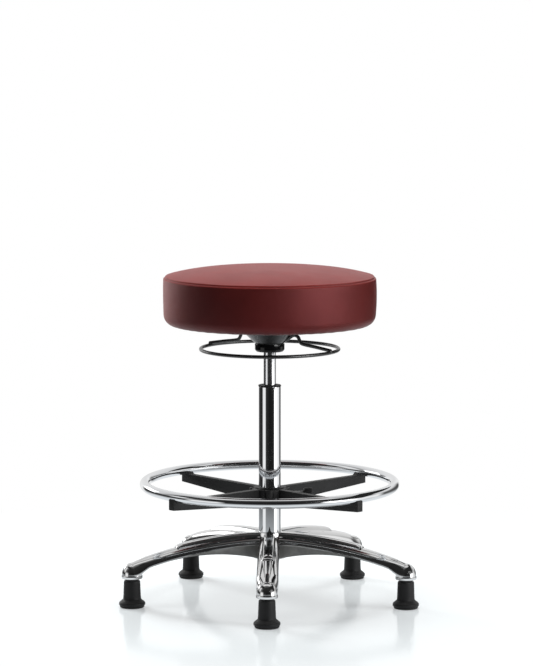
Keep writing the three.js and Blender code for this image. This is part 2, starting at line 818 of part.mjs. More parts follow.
function roundSection(radius, sides) {
  const shape = new THREE.Shape();
  for (let i = 0; i < sides; i += 1) {
    const angle = (2 * Math.PI * i) / sides;
    const [x, y] = [radius * Math.cos(angle), radius * Math.sin(angle)];
    if (i === 0) shape.moveTo(x, y);
    else shape.lineTo(x, y);
  }
  return shape;
}

function releaseRing() {
  const ring = solid(new THREE.TorusGeometry(releaseRingRadius, releaseRodRadius, pinSides, releaseRingSides)
    .translate(0, 0, releaseRingHeight));
  const arm = solid(new THREE.ExtrudeGeometry(roundSection(releaseRodRadius, armSides), {
    steps: 11, extrudePath: armCurve(), bevelEnabled: false,
  }));
  const arms = [0, 180].map((turn) => arm.rotate([0, 0, releaseArmAngle + turn]));
  const cupSpace = solid(rod(
    actuatorRadius + seatingGap, actuatorSkirtBottom - cutOverrun, actuatorTop + cutOverrun, tubeSides,
  ));
  return geometryOf(cut(join([ring, ...arms]), [cupSpace]));
}

function actuatorCup() {
  const inner = actuatorRadius - actuatorWall;
  return turned([
    [0, actuatorBottom], [inner, actuatorBottom], [inner, actuatorSkirtBottom],
    [actuatorRadius, actuatorSkirtBottom], [actuatorRadius, actuatorTop], [0, actuatorTop],
  ], tubeSides);
}

// Foot ring

const spokeAngles = Array.from({ length: spokeCount }, (_, i) => spokeAngle + (360 / spokeCount) * i);

function footRing() {
  const outer = solid(new THREE.TorusGeometry(footRingRadius, footTubeRadius, ringTubeSides, ringSides));
  const hollow = solid(new THREE.TorusGeometry(
    footRingRadius, footTubeRadius - footTubeWall, ringBoreSides, ringSides,
  ));
  const hole = solid(rod(
    saddleScrewRadius + seatingGap, -footTubeRadius - cutOverrun, 0,
  ).translate(footRingRadius, 0, 0));
  const holes = spokeAngles.map((angle) => hole.rotate([0, 0, angle]));
  return geometryOf(cut(outer, [hollow, ...holes]).translate([0, 0, footRingHeight]));
}

// Flat piece drawn in reach and height, centred on the plane of its spoke
function slab(outline, width) {
  const shape = new THREE.Shape(outline.map(([reach, height]) => new THREE.Vector2(reach, height)));
  return solid(new THREE.ExtrudeGeometry(shape, { depth: width, bevelEnabled: false })
    .rotateX(Math.PI / 2).translate(0, width / 2, 0));
}

function footHub() {
  const spokeLine = (reach) => THREE.MathUtils.lerp(
    footHubBottom, spokeEndBottom, (reach - footHubRadius) / (spokeEndReach - footHubRadius),
  );
  const cradleStart = spokeEndReach - cradleLength;
  const spoke = slab([
    [footHubBoreRadius, footHubBottom], [footHubRadius, footHubBottom], [spokeEndReach, spokeEndBottom],
    [spokeEndReach, footHubTop + cradleHeight], [cradleStart + cradleHeight, footHubTop + cradleHeight],
    [cradleStart, footHubTop], [footHubBoreRadius, footHubTop],
  ], spokeWidth);
  const channel = slab([
    [spokeChannelStart, footHubBottom - cutOverrun], [spokeChannelEnd, footHubBottom - cutOverrun],
    [spokeChannelEnd, footHubTop - spokeRoof], [spokeChannelStart, footHubTop - spokeRoof],
  ], spokeChannelWidth);
  const screwHole = solid(rod(
    saddleScrewRadius + seatingGap, spokeLine(footRingRadius) - cutOverrun, footRingHeight,
  ).translate(footRingRadius, 0, 0));
  const headRecess = solid(rod(
    saddleScrewHeadRadius + seatingGap, spokeEndBottom - cutOverrun,
    spokeEndBottom + saddleScrewHeadHeight,
  ).translate(footRingRadius, 0, 0));
  const barrel = solid(rod(footHubRadius, footHubBottom, footHubTop, wideSides));
  const lobe = solid(rod(lobeRadius, footHubBottom, footHubTop, rodSides).translate(lobeReach, 0, 0));
  const well = solid(rod(wellRadius, footHubTop - wellDepth, footHubTop + cutOverrun).translate(wellReach, 0, 0));
  const bore = solid(rod(
    footHubBoreRadius, footHubBottom - cutOverrun, footHubTop + cutOverrun, wideSides,
  ));
  const cradle = solid(new THREE.TorusGeometry(
    footRingRadius, footTubeRadius + seatingGap, ringTubeSides, ringSides,
  ).translate(0, 0, footRingHeight));
  const studHole = solid(rod(
    studRadius + slidingGap, 0, footHubRadius + lobeRadius,
  ).rotateY(Math.PI / 2).translate(0, 0, studHeight));
  const quarters = [0, 90, 180, 270];
  const whole = join([
    barrel, ...quarters.map((turn) => lobe.rotate([0, 0, turn])),
    ...spokeAngles.map((angle) => spoke.rotate([0, 0, angle])),
  ]);
  return geometryOf(cut(whole, [
    bore, cradle, studHole,
    ...quarters.map((turn) => well.rotate([0, 0, turn])),
    ...spokeAngles.flatMap((angle) => [channel, screwHole, headRecess]
      .map((cutter) => cutter.rotate([0, 0, angle]))),
  ]));
}

function columnSleeve() {
  const lipTop = footHubBottom - seatingGap;
  const flangeBottom = footHubTop + seatingGap;
  const sleeve = solid(turnedRing([
    [sleeveInnerRadius, lipTop - sleeveFlangeThickness], [sleeveLipRadius, lipTop - sleeveFlangeThickness],
    [sleeveLipRadius, lipTop], [sleeveOuterRadius, lipTop], [sleeveOuterRadius, flangeBottom],
    [sleeveFlangeRadius, flangeBottom], [sleeveFlangeRadius, flangeBottom + sleeveFlangeThickness],
    [sleeveInnerRadius, flangeBottom + sleeveFlangeThickness],
  ], wideSides));
  const length = footHubTop - footHubBottom + 2 * (sleeveFlangeThickness + cutOverrun);
  const split = solid(box(
    sleeveFlangeRadius + cutOverrun, sleeveSplitWidth, length,
    -(sleeveFlangeRadius + cutOverrun) / 2, 0, (footHubTop + footHubBottom) / 2,
  ));
  return geometryOf(cut(sleeve, [split]));
}

// Pan-head screw that holds the foot ring down on a spoke
function saddleScrew() {
  const headBottom = spokeEndBottom - seatingGap;
  const headTop = headBottom + saddleScrewHeadHeight;
  const tip = footRingHeight - footTubeRadius + saddleScrewEntry;
  return turned([
    [0, headBottom], [saddleScrewHeadRadius, headBottom], [saddleScrewHeadRadius, headTop],
    [saddleScrewRadius, headTop], [saddleScrewRadius, tip], [0, tip],
  ], pinSides).translate(footRingRadius, 0, 0);
}

function clampStud() {
  const start = sleeveOuterRadius + seatingGap;
  const end = knobStart + knobBoreDepth - seatingGap;
  return rod(studRadius, start, end).rotateY(Math.PI / 2).translate(0, 0, studHeight);
}

function clampKnob() {
  const outline = new THREE.Shape();
  const points = 4 * knobFluteCount;
  for (let i = 0; i < points; i += 1) {
    const angle = (2 * Math.PI * i) / points;
    const radius = knobRadius - knobEdge + knobFlute * Math.cos(knobFluteCount * angle);
    const [x, y] = [radius * Math.cos(angle), radius * Math.sin(angle)];
    if (i === 0) outline.moveTo(x, y);
    else outline.lineTo(x, y);
  }
  const grip = solid(new THREE.ExtrudeGeometry(outline, {
    depth: knobLength - 2 * knobEdge, bevelEnabled: true, bevelThickness: knobEdge,
    bevelSize: knobEdge, bevelSegments: 1,
  }).translate(0, 0, knobEdge));
  const bore = solid(rod(studRadius + seatingGap, -cutOverrun, knobBoreDepth));
  return geometryOf(cut(grip, [bore]))
    .rotateY(Math.PI / 2).translate(knobStart, 0, studHeight);
}

// Seat

const sideShares = [0.3, 0.7];
const crownShares = [0.94, 0.84, 0.72, 0.57, 0.36];

// Outside of the cover from the hem under the seat to the middle of the crown
function coverOutline() {
  const corner = quarterRound(
    [seatFlatRadius, coverBottomHeight + seatCornerHeight],
    [seatSideRadius - seatFlatRadius, seatCornerHeight], 270, 360, 4,
  );
  const sideBottom = coverBottomHeight + seatCornerHeight;
  const sideTop = seatSeamHeight - seatShoulderDrop;
  const side = sideShares.map((share) => [
    seatSideRadius + seatBulge * 4 * share * (1 - share),
    THREE.MathUtils.lerp(sideBottom, sideTop, share),
  ]);
  const shoulder = quarterRound(
    [seatSeamRadius, sideTop], [seatSideRadius - seatSeamRadius, seatShoulderDrop], 0, 80, 3,
  );
  const seam = [
    [seatSeamRadius, seatSeamHeight - seamGrooveDepth],
    [seatSeamRadius - seamGrooveWidth, seatSeamHeight - seamGrooveDepth / 2],
  ];
  const crown = crownShares.map((share) => [
    seatSeamRadius * share, seatSeamHeight + crownRise * (1 - share ** crownFlatness),
  ]);
  return [
    [coverHemRadius, coverBottomHeight], ...corner, ...side, ...shoulder, ...seam, ...crown,
    [0, seatSeamHeight + crownRise],
  ];
}

// The same outline moved inwards by a distance, square to itself
function insetOutline(outline, distance) {
  return outline.map(([radius, height], i) => {
    const before = outline[Math.max(0, i - 1)];
    const after = outline[Math.min(outline.length - 1, i + 1)];
    const along = new THREE.Vector2(after[0] - before[0], after[1] - before[1]).normalize();
    if (i === outline.length - 1) return [0, height - distance];
    if (i === 0) return [radius, height + distance];
    return [radius - along.y * distance, height + along.x * distance];
  });
}

// Outline of what the cover hides, with half the points
function innerOutline(distance) {
  const outline = coverOutline();
  const last = outline.length - 1;
  return insetOutline(outline.filter((point, i) => i % 2 === 1 || i === 0 || i === last), distance);
}

function seatCover() {
  return turned([...coverOutline().reverse(), ...innerOutline(coverThickness)], seatSides);
}

function seatFoam() {
  const outline = innerOutline(coverThickness + seatingGap);
  const foamEdge = boardRadius + seatingGap;
  const firstOutside = outline.findIndex(([radius]) => radius > foamEdge);
  return turned([
    [0, boardTopHeight + seatingGap], [foamEdge, boardTopHeight + seatingGap],
    [foamEdge, outline[firstOutside][1]], ...outline.slice(firstOutside),
  ], seatSides);
}

function seatBoard() {
  const disc = solid(rod(boardRadius, boardBottomHeight, boardTopHeight, seatSides));
  const bores = boltCorners.flatMap(([x, y]) => [
    solid(rod(boardBoreRadius, boardBottomHeight - cutOverrun, boardTopHeight + cutOverrun)
      .translate(x, y, 0)),
    solid(rod(
      teeNutFlangeRadius + seatingGap, boardTopHeight - teeNutFlangeThickness - seatingGap,
      boardTopHeight + cutOverrun,
    ).translate(x, y, 0)),
  ]);
  return geometryOf(cut(disc, bores));
}

function dustCover() {
  const sheet = solid(rod(
    dustCoverRadius, coverBottomHeight, coverBottomHeight + dustCoverThickness, wideSides,
  ));
  const holes = boltCorners.map(([x, y]) => solid(rod(
    plateScrewRadius + seatingGap, coverBottomHeight - cutOverrun, coverBottomHeight + cutOverrun,
  ).translate(x, y, 0)));
  return geometryOf(cut(sheet, holes));
}

// Assembly

const stool = new THREE.Group();
stool.position.y = floorCentreShift;

function add(name, geometry, material, group = stool) {
  const shape = closed(geometry);
  shape.computeVertexNormals();
  const mesh = new THREE.Mesh(shape, material);
  mesh.name = name;
  group.add(mesh);
  return mesh;
}

add('base_casting', baseCasting(), aluminium);
const legNames = ['front', 'right', 'back_right', 'back_left', 'left'];
legNames.forEach((side, i) => {
  const corner = new THREE.Group();
  const angle = legAngles[i] * degree;
  corner.position.set(glideCircleRadius * Math.cos(angle), glideCircleRadius * Math.sin(angle), 0);
  corner.rotation.z = angle;
  stool.add(corner);
  add(`glide_stem_${side}`, glideStem(), steel, corner);
  add(`glide_${side}`, glideBody(), blackNylon, corner);
  add(`glide_pad_${side}`, glidePad(), rubber, corner);
});

add('column_tube', columnTube(), chrome);
add('guide_bush', guideBush(), blackNylon);
add('column_end_plate', washer(
  raceBoreRadius, columnFootInnerRadius - seatingGap, endPlateBottom, endPlateTop,
), steel);
add('bearing_lower_race', washer(raceBoreRadius, raceRadius, lowerRaceBottom, lowerRaceTop), steel);
add('bearing_ball_cage', ballCage(), steel);
add('bearing_upper_race', washer(raceBoreRadius, raceRadius, upperRaceBottom, upperRaceTop), steel);
add('piston_rod', pistonRod(), steel);
add('piston', piston(), blackNylon);
add('lift_bumper', washer(
  rodRadius + seatingGap, bumperRadius, rodShoulderHeight, bumperTop,
), rubber);
add('rod_washer', washer(
  rodFootRadius + seatingGap, footWasherRadius, clipTop + seatingGap, endPlateBottom - seatingGap,
), steel);
add('rod_clip', retainingClip(), steel);

add('pressure_tube', pressureTube(), chrome);
add('tube_end_guide', washer(
  rodRadius + slidingGap, tubeInnerRadius - seatingGap, tubeGuideBottom, tubeGuideTop,
), blackNylon);
add('valve_button', rod(valveButtonRadius, tubeTopHeight - valveButtonDepth, valveButtonTop), whiteNylon);
add('taper_socket', taperSocket(), steel);
add('mechanism_housing', mechanismHousing(), greySteel);
add('socket_collar', socketCollar(), blackGloss);
add('mounting_plate', mountingPlate(), blackSteel);

const cornerNames = ['a', 'b', 'c', 'd'];
cornerNames.forEach((corner, i) => {
  const [x, y] = boltCorners[i];
  add(`plate_screw_${corner}`, plateScrew().translate(x, y, 0), steel);
  add(`tee_nut_${corner}`, teeNut().translate(x, y, 0), steel);
});

add('release_ring', releaseRing(), blackSteel);
add('actuator_cup', actuatorCup(), steel);

add('foot_ring', footRing(), chrome);
add('foot_ring_hub', footHub(), blackNylon);
add('column_sleeve', columnSleeve(), blackNylon);
cornerNames.forEach((corner, i) => {
  add(`saddle_screw_${corner}`, saddleScrew().rotateZ(spokeAngles[i] * degree), steel);
});
add('clamp_stud', clampStud(), steel);
add('clamp_knob', clampKnob(), blackNylon);

add('dust_cover', dustCover(), fleece);
add('seat_board', seatBoard(), plywood);
add('seat_foam', seatFoam(), foam);
add('seat_cover', seatCover(), vinyl);

export default stool;
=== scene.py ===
"""Looks of a height-adjustable round stool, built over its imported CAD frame.

Shapes are drawn in millimetres about the column: x = 0, y = 0 is the column's axis and
z = 0 the floor. Each piece is then placed in metres in the frame's own coordinates.
"""

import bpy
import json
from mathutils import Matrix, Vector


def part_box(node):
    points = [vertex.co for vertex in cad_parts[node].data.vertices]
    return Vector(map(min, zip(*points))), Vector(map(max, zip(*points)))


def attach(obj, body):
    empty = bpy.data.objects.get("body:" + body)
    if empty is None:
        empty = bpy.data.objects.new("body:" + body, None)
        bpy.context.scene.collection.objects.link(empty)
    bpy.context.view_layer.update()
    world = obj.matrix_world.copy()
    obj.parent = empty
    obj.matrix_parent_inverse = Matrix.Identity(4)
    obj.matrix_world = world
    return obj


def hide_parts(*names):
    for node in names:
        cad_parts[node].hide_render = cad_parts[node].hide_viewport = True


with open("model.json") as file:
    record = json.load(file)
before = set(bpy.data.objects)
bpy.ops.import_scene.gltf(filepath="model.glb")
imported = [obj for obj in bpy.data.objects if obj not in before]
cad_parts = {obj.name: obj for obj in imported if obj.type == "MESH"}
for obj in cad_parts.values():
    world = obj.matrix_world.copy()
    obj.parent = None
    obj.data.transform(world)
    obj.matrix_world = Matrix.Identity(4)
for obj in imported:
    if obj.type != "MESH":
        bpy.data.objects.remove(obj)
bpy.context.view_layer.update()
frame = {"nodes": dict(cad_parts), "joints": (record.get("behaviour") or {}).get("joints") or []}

import json
import math

import bmesh
import bpy
from bpy.props import FloatProperty, FloatVectorProperty, PointerProperty
from mathutils import Matrix, Vector, kdtree

bl_info = {
    "name": "Gas-lift stool",
    "version": (1, 0, 0),
    "blender": (4, 5, 0),
    "location": "View3D > Sidebar > Stool",
    "description": "Round padded stool with a release ring, a foot ring and a star base",
    "category": "Add Mesh",
}

MILLIMETRE = 0.001
JOINTS = {joint["name"]: joint for joint in frame["joints"]}
COLUMN = Vector((0.0, JOINTS["seat_swivel"]["pos_m"][1], 0.0))
LEG_ANGLES = {"front": -90.0, "right": -18.0, "back_right": 54.0, "back_left": 126.0,
              "left": 198.0}
SPOKE_ANGLES = {"a": 43.5, "b": 133.5, "c": 223.5, "d": 313.5}
ARM_ANGLES = (-29.0, 151.0)  # the two release arms
POLE = 1e-6  # a turned profile closes on the axis below this radius
SHARP = 38.0  # edges that bend more than this many degrees stay sharp


def levels_of(name):
    """Lowest and highest level of a CAD node, in millimetres."""
    low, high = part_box(name)
    return low.z / MILLIMETRE, high.z / MILLIMETRE


# Profiles

def mix(a, b, share):
    return a + (b - a) * share


def eased(share):
    share = min(1.0, max(0.0, share))
    return share * share * (3 - 2 * share)


def rounded(corners, steps=5, loop=False):
    """Points along straight lines whose (across, up, fillet) corners are rounded."""
    points = []
    count = len(corners)
    for i, (x, y, fillet) in enumerate(corners):
        here = Vector((x, y))
        if fillet <= 0 or (not loop and i in (0, count - 1)):
            points.append((x, y))
            continue
        back = Vector(corners[i - 1][:2]) - here
        ahead = Vector(corners[(i + 1) % count][:2]) - here
        half = back.angle(ahead) / 2
        reach = min(fillet / math.tan(half), back.length * 0.49, ahead.length * 0.49)
        radius = reach * math.tan(half)
        back.normalize()
        ahead.normalize()
        centre = here + (back + ahead).normalized() * (radius / math.sin(half))
        first = here + back * reach - centre
        last = here + ahead * reach - centre
        start = math.atan2(first.y, first.x)
        turn = (math.atan2(last.y, last.x) - start + math.pi) % (2 * math.pi) - math.pi
        for angle in (start + turn * k / steps for k in range(steps + 1)):
            points.append((centre.x + radius * math.cos(angle),
                           centre.y + radius * math.sin(angle)))
    return points


def divided(line, longest, parts):
    """A line of points whose stretches over a length are divided into parts."""
    points = []
    for here, after in zip(line, line[1:]):
        count = parts if math.dist(here, after) > longest else 1
        points += [(mix(here[0], after[0], k / count), mix(here[1], after[1], k / count))
                   for k in range(count)]
    return points + [line[-1]]


def arc(centre, radii, start, end, steps):
    """Points of an elliptical arc, with its angles in degrees."""
    angles = [math.radians(start + (end - start) * k / steps) for k in range(steps + 1)]
    return [(centre[0] + radii[0] * math.cos(a), centre[1] + radii[1] * math.sin(a))
            for a in angles]


def turns(count):
    """The angles that divide a full turn evenly."""
    return [2 * math.pi * k / count for k in range(count)]


def around(radius, angle, level=0.0):
    """The point at a radius and an angle about the column."""
    return radius * math.cos(angle), radius * math.sin(angle), level


def circle(radius, level, count):
    return [around(radius, angle, level) for angle in turns(count)]


def bezier(first, handle, last, share):
    """Point of a quadratic curve."""
    a, b, c = (1 - share) ** 2, 2 * share * (1 - share), share ** 2
    return tuple(a * p + b * q + c * r for p, q, r in zip(first, handle, last))


def height_on(curve, reach):
    """Height of a quadratic curve where it has come out to a reach."""
    low, high = 0.0, 1.0
    for _ in range(40):
        middle = (low + high) / 2
        if bezier(*curve, middle)[0] < reach:
            low = middle
        else:
            high = middle
    return bezier(*curve, high)[1]


def curve_through(knots, steps, tension):
    """Points of a smooth line through knots, tightened at its bends."""
    knots = [Vector(k) for k in knots]
    ends = [knots[0] * 2 - knots[1]] + knots + [knots[-1] * 2 - knots[-2]]
    points = []
    for i in range(1, len(ends) - 2):
        a, b, c, d = ends[i - 1:i + 3]
        out, into = (c - a) * tension, (d - b) * tension
        for s in (k / steps for k in range(steps)):
            points.append(b * (2 * s ** 3 - 3 * s ** 2 + 1) + out * (s ** 3 - 2 * s ** 2 + s)
                          + c * (3 * s ** 2 - 2 * s ** 3) + into * (s ** 3 - s ** 2))
    return points + [knots[-1]]


def offset_outline(outline, distance):
    """A closed outline moved outwards (or inwards, when negative) along its normals."""
    shifted_points = []
    for i, (x, y) in enumerate(outline):
        before, after = Vector(outline[i - 1]), Vector(outline[(i + 1) % len(outline)])
        along = (after - before).normalized()
        shifted_points.append((x + along.y * distance, y - along.x * distance))
    return shifted_points


# Surfaces: each returns points in millimetres and faces

def skinned(levels, closed=False, capped=False):
    """Faces between neighbouring rings of points. A ring of one point makes a pole."""
    points, rings, faces = [], [], []
    count = max(len(level) for level in levels)
    for level in levels:
        first = len(points)
        rings.append([first + k if len(level) > 1 else first for k in range(count)])
        points += level
    if closed:
        rings.append(rings[0])
    for lower, upper in zip(rings, rings[1:]):
        for k in range(count):
            n = (k + 1) % count
            corners = list(dict.fromkeys((lower[k], lower[n], upper[n], upper[k])))
            if len(corners) > 2:
                faces.append(corners)
    return points, faces + ([rings[0][::-1], rings[-1]] if capped else [])


def turned(profile, steps, closed=False):
    """A profile of (radius, height) turned about the z axis. Radius 0 makes a pole."""
    return skinned([circle(radius, height, steps) if radius >= POLE else [(0.0, 0.0, height)]
                    for radius, height in profile], closed)


def lathed(corners, fillet_steps, steps):
    """A ring-shaped solid, turned from the closed outline of its (radius, up, fillet) corners."""
    return turned(rounded(corners, fillet_steps, loop=True), steps, closed=True)


def swept(path, radius, sides, loop=False):
    """A round bar along a path."""
    path = [Vector(p) for p in path]
    count = len(path)
    tangents = []
    for i in range(count):
        before = path[i - 1] if loop or i else path[i]
        after = path[(i + 1) % count] if loop or i + 1 < count else path[i]
        tangents.append((after - before).normalized())
    side = tangents[0].orthogonal().normalized()
    if abs(tangents[0].z) < 0.9:
        side = tangents[0].cross(Vector((0, 0, 1))).normalized()
    levels = []
    for here, tangent in zip(path, tangents):
        side = (side - tangent * side.dot(tangent)).normalized()
        up = tangent.cross(side)
        levels.append([here + (side * math.cos(a) + up * math.sin(a)) * radius
                       for a in turns(sides)])
    return skinned(levels, closed=loop, capped=not loop)


def ball(centre, radii, sides=20, rows=12):
    """An ellipsoid, used for weld beads."""
    angles = [math.pi * k / rows for k in range(1, rows)]
    profile = [(math.sin(a), -math.cos(a)) for a in angles]
    points, faces = turned([(0.0, -1.0)] + profile + [(0.0, 1.0)], sides)
    return [tuple(c + p * r for c, p, r in zip(centre, point, radii)) for point in points], faces


def prism(outline, low, high, edge=0.0, steps=3):
    """An upright block over a counter-clockwise outline, with rounded upper and lower edges."""
    levels = [(0.0, low), (0.0, high)]
    if edge > 0:
        levels = [(-edge * (1 - math.sin(a)), low + edge * (1 - math.cos(a)))
                  for a in (math.pi / 2 * k / steps for k in range(steps + 1))]
        levels += [(inset, low + high - level) for inset, level in reversed(levels)]
    return skinned([[(x, y, level) for x, y in
                     (offset_outline(outline, inset) if inset else outline)]
                    for inset, level in levels], capped=True)


def block(x_from, x_to, half, low, high, edge=0.0, steps=3):
    """A prism over a rectangle that lies evenly about the x axis."""
    outline = [(x_from, -half), (x_to, -half), (x_to, half), (x_from, half)]
    return prism(outline, low, high, edge, steps)


def moved(shape, matrix):
    points, faces = shape
    return [matrix @ Vector(p) for p in points], faces


def spun(shape, angle):
    return moved(shape, Matrix.Rotation(math.radians(angle), 4, "Z"))


def shifted(shape, x, y=0.0, z=0.0):
    return moved(shape, Matrix.Translation((x, y, z)))


def laid_along_x(shape, x, z):
    """A shape drawn upright, laid so that its height runs along +X from a point."""
    upright_to_x = Matrix.Rotation(math.radians(90), 4, "Y")
    return moved(shape, Matrix.Translation((x, 0, z)) @ upright_to_x)


# Pieces

def new_object(name, data):
    made = bpy.data.objects.new(name, data)
    bpy.context.scene.collection.objects.link(made)
    return made


def make_piece(name, shapes, finishes, sharp=SHARP, zones=None):
    """One object from shapes in millimetres. zones gives each shape's, or face's, finish."""
    points, faces, numbers = [], [], []
    for i, (shape_points, shape_faces) in enumerate(shapes):
        zone = zones[i] if zones else 0
        base = len(points)
        points += [Vector(p) * MILLIMETRE + COLUMN for p in shape_points]
        for k, face in enumerate(shape_faces):
            faces.append([base + index for index in face])
            numbers.append(zone[k] if isinstance(zone, list) else zone)
    mesh = bpy.data.meshes.new(name)
    mesh.from_pydata(points, [], faces)
    for finish in finishes:
        mesh.materials.append(material_of(finish))
    mesh.polygons.foreach_set("material_index", numbers)
    mesh.validate()
    point_outwards(mesh)
    smooth(mesh, sharp)
    return new_object(name, mesh)


def point_outwards(mesh):
    work = bmesh.new()
    work.from_mesh(mesh)
    bmesh.ops.recalc_face_normals(work, faces=work.faces)
    work.to_mesh(mesh)
    work.free()


def smooth(mesh, sharp):
    mesh.polygons.foreach_set("use_smooth", [True] * len(mesh.polygons))
    mesh.set_sharp_from_angle(angle=math.radians(sharp))


def with_modifiers(piece, sharp=SHARP):
    """Replaces a piece's mesh by what its modifiers make of it."""
    graph = bpy.context.evaluated_depsgraph_get()
    baked = bpy.data.meshes.new_from_object(piece.evaluated_get(graph), depsgraph=graph)
    piece.modifiers.clear()
    piece.data = baked
    baked.name = piece.name
    smooth(baked, sharp)


def cut_and_joined(piece, joined, cutters, sharp):
    """Adds and takes away other pieces, which are used up."""
    steps = [(tool, "UNION") for tool in joined] + [(tool, "DIFFERENCE") for tool in cutters]
    for tool, operation in steps:
        modifier = piece.modifiers.new(tool.name, "BOOLEAN")
        modifier.operation = operation
        modifier.solver = "EXACT"
        modifier.object = tool
    with_modifiers(piece, sharp)
    for tool, _ in steps:
        bpy.data.objects.remove(tool)


def fit(piece, body, slot, *nodes):
    """Rides a piece on its body and hides the CAD nodes that it stands for. slot is not used."""
    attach(piece, body)
    if nodes:
        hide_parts(*nodes)


def add_piece(name, shapes, finish, body, slot, *nodes, sharp=SHARP):
    """Makes a piece in one finish and fits it."""
    fit(make_piece(name, shapes, [finish], sharp), body, slot, *nodes)


def dress(finish, *nodes):
    """Gives CAD nodes that stay as they are their finish."""
    for name in nodes:
        mesh = frame["nodes"][name].data
        mesh.materials.clear()
        mesh.materials.append(material_of(finish))


def screw_shape(low, core, head, shank, steps):
    """A socket-head screw, turned upright from the lowest level of its head.

    core is the socket's (radius, floor, rim), head the (radius, height, fillet) corners
    outside it and shank (radius, length), all from that level.
    """
    hollow = [(0.0, low + core[1]), (core[0], low + core[1]), (core[0], low + core[2])]
    corners = [(core[0], low + core[2], 0)]
    corners += [(radius, low + up, fillet) for radius, up, fillet in head]
    neck = low + head[-1][1]
    bolt = [(shank[0], neck), (shank[0], low + shank[1]), (0.0, low + shank[1])]
    return turned(hollow + rounded(corners, 4) + bolt, steps)


# Shader nodes

def wire(tree, kind, values=None, links=None, **settings):
    """Adds a node, sets its settings and input values, and links outputs into its inputs."""
    node = tree.nodes.new(kind)
    for name, value in settings.items():
        setattr(node, name, value)
    for name, value in (values or {}).items():
        node.inputs[name].default_value = value
    for name, socket in (links or {}).items():
        tree.links.new(socket, node.inputs[name])
    return node


def output_of(tree, kind, name):
    """The named output of a node that takes nothing in."""
    return tree.nodes.new(kind).outputs[name]


def noise(tree, place, scale, detail, roughness=0.5):
    """Noise whose scale is a number or an output."""
    values, links = {"Detail": detail, "Roughness": roughness}, {"Vector": place}
    (values if isinstance(scale, float) else links)["Scale"] = scale
    return wire(tree, "ShaderNodeTexNoise", values, links).outputs["Fac"]


def ramp(tree, source, stops):
    """Colour ramp from (position, grey or colour) stops."""
    node = wire(tree, "ShaderNodeValToRGB", links={"Fac": source})
    elements = node.color_ramp.elements
    for i, (position, tone) in enumerate(stops):
        element = elements[i] if i < 2 else elements.new(position)
        element.position = position
        element.color = (*tone, 1) if isinstance(tone, tuple) else (tone, tone, tone, 1)
    return node.outputs["Color"]


def spread(tree, source, taken=(0.0, 1.0), given=(0.0, 1.0)):
    """Spreads the span that a value is taken from over the span that is given."""
    return wire(tree, "ShaderNodeMapRange",
                {"From Min": taken[0], "From Max": taken[1],
                 "To Min": given[0], "To Max": given[1]},
                {"Value": source}).outputs["Result"]


def calculated(tree, operation, first, second):
    return wire(tree, "ShaderNodeMath", links={0: first, 1: second},
                operation=operation).outputs[0]


def blended(tree, share, first, second):
    """Mixes two colours: an output, and an output or a colour."""
    fixed = {"B": (*second, 1)} if isinstance(second, tuple) else {}
    links = {"Factor": share, "A": first} | ({} if fixed else {"B": second})
    return wire(tree, "ShaderNodeMix", fixed, links, data_type="RGBA").outputs["Result"]


def shaded(tree, share, first, second):
    """Mixes two shaders."""
    return wire(tree, "ShaderNodeMixShader", links={0: share, 1: first, 2: second}).outputs[0]


def raised(tree, height, distance):
    """Normals bent by a relief of this depth in metres."""
    return wire(tree, "ShaderNodeBump", {"Strength": 1.0, "Distance": distance},
                {"Height": height}).outputs["Normal"]


def glowing(tree, kind, strength, colour):
    """An emission or a background, in a fixed colour or an output's."""
    if isinstance(colour, tuple):
        return wire(tree, kind, {"Color": (*colour, 1), "Strength": strength}).outputs[0]
    return wire(tree, kind, {"Strength": strength}, {"Color": colour}).outputs[0]


# Shader groups that several finishes share

def cloudy_tone(tree, place, given):
    """Colour that drifts between two tones, as handling and dye lots leave it."""
    drift = noise(tree, place, given["Scale"], 3.0, 0.55)
    return blended(tree, ramp(tree, drift, ((0.36, 0.0), (0.64, 1.0))), given["Tone"],
                   given["Other Tone"])


def worn_edge(tree, place, given):
    """Mask of outer edges, broken up by noise, where finish rubs thin."""
    bend = output_of(tree, "ShaderNodeNewGeometry", "Pointiness")
    patch = ramp(tree, noise(tree, place, given["Scale"], 4.0), ((0.4, 0.0), (0.62, 1.0)))
    both = calculated(tree, "MULTIPLY", spread(tree, bend, (0.52, 0.6)), patch)
    return calculated(tree, "MULTIPLY", both, given["Amount"])


def settled_dust(tree, place, given):
    """Mask of dust lying on faces that look up."""
    normal = output_of(tree, "ShaderNodeNewGeometry", "Normal")
    up = wire(tree, "ShaderNodeSeparateXYZ", links={"Vector": normal}).outputs["Z"]
    patch = ramp(tree, noise(tree, place, 60.0, 5.0), ((0.35, 0.2), (0.7, 1.0)))
    both = calculated(tree, "MULTIPLY", spread(tree, up, (0.5, 1.0)), patch)
    return calculated(tree, "MULTIPLY", both, given["Amount"])


def hide_grain(tree, place, given):
    """Relief of embossed vinyl: small rounded cells over a slow unevenness of the padding."""
    cells = wire(tree, "ShaderNodeTexVoronoi", {"Randomness": 0.9},
                 {"Vector": place, "Scale": given["Cells"]}, feature="DISTANCE_TO_EDGE")
    domes = ramp(tree, cells.outputs["Distance"], ((0.0, 0.0), (0.28, 1.0)))
    slow = calculated(tree, "MULTIPLY", noise(tree, place, 9.0, 2.0), given["Padding"])
    return calculated(tree, "ADD", domes, slow)


def moulded_relief(tree, place, given):
    """Relief of sprayed or moulded skin."""
    return noise(tree, place, given["Scale"], 6.0, 0.6)


def brushed_lines(tree, place, given):
    """Fine lines round the piece, left by grinding or turning."""
    stretched = wire(tree, "ShaderNodeMapping", {"Scale": (2.0, 2.0, 60.0)}, {"Vector": place})
    return noise(tree, stretched.outputs["Vector"], given["Scale"], 3.0)


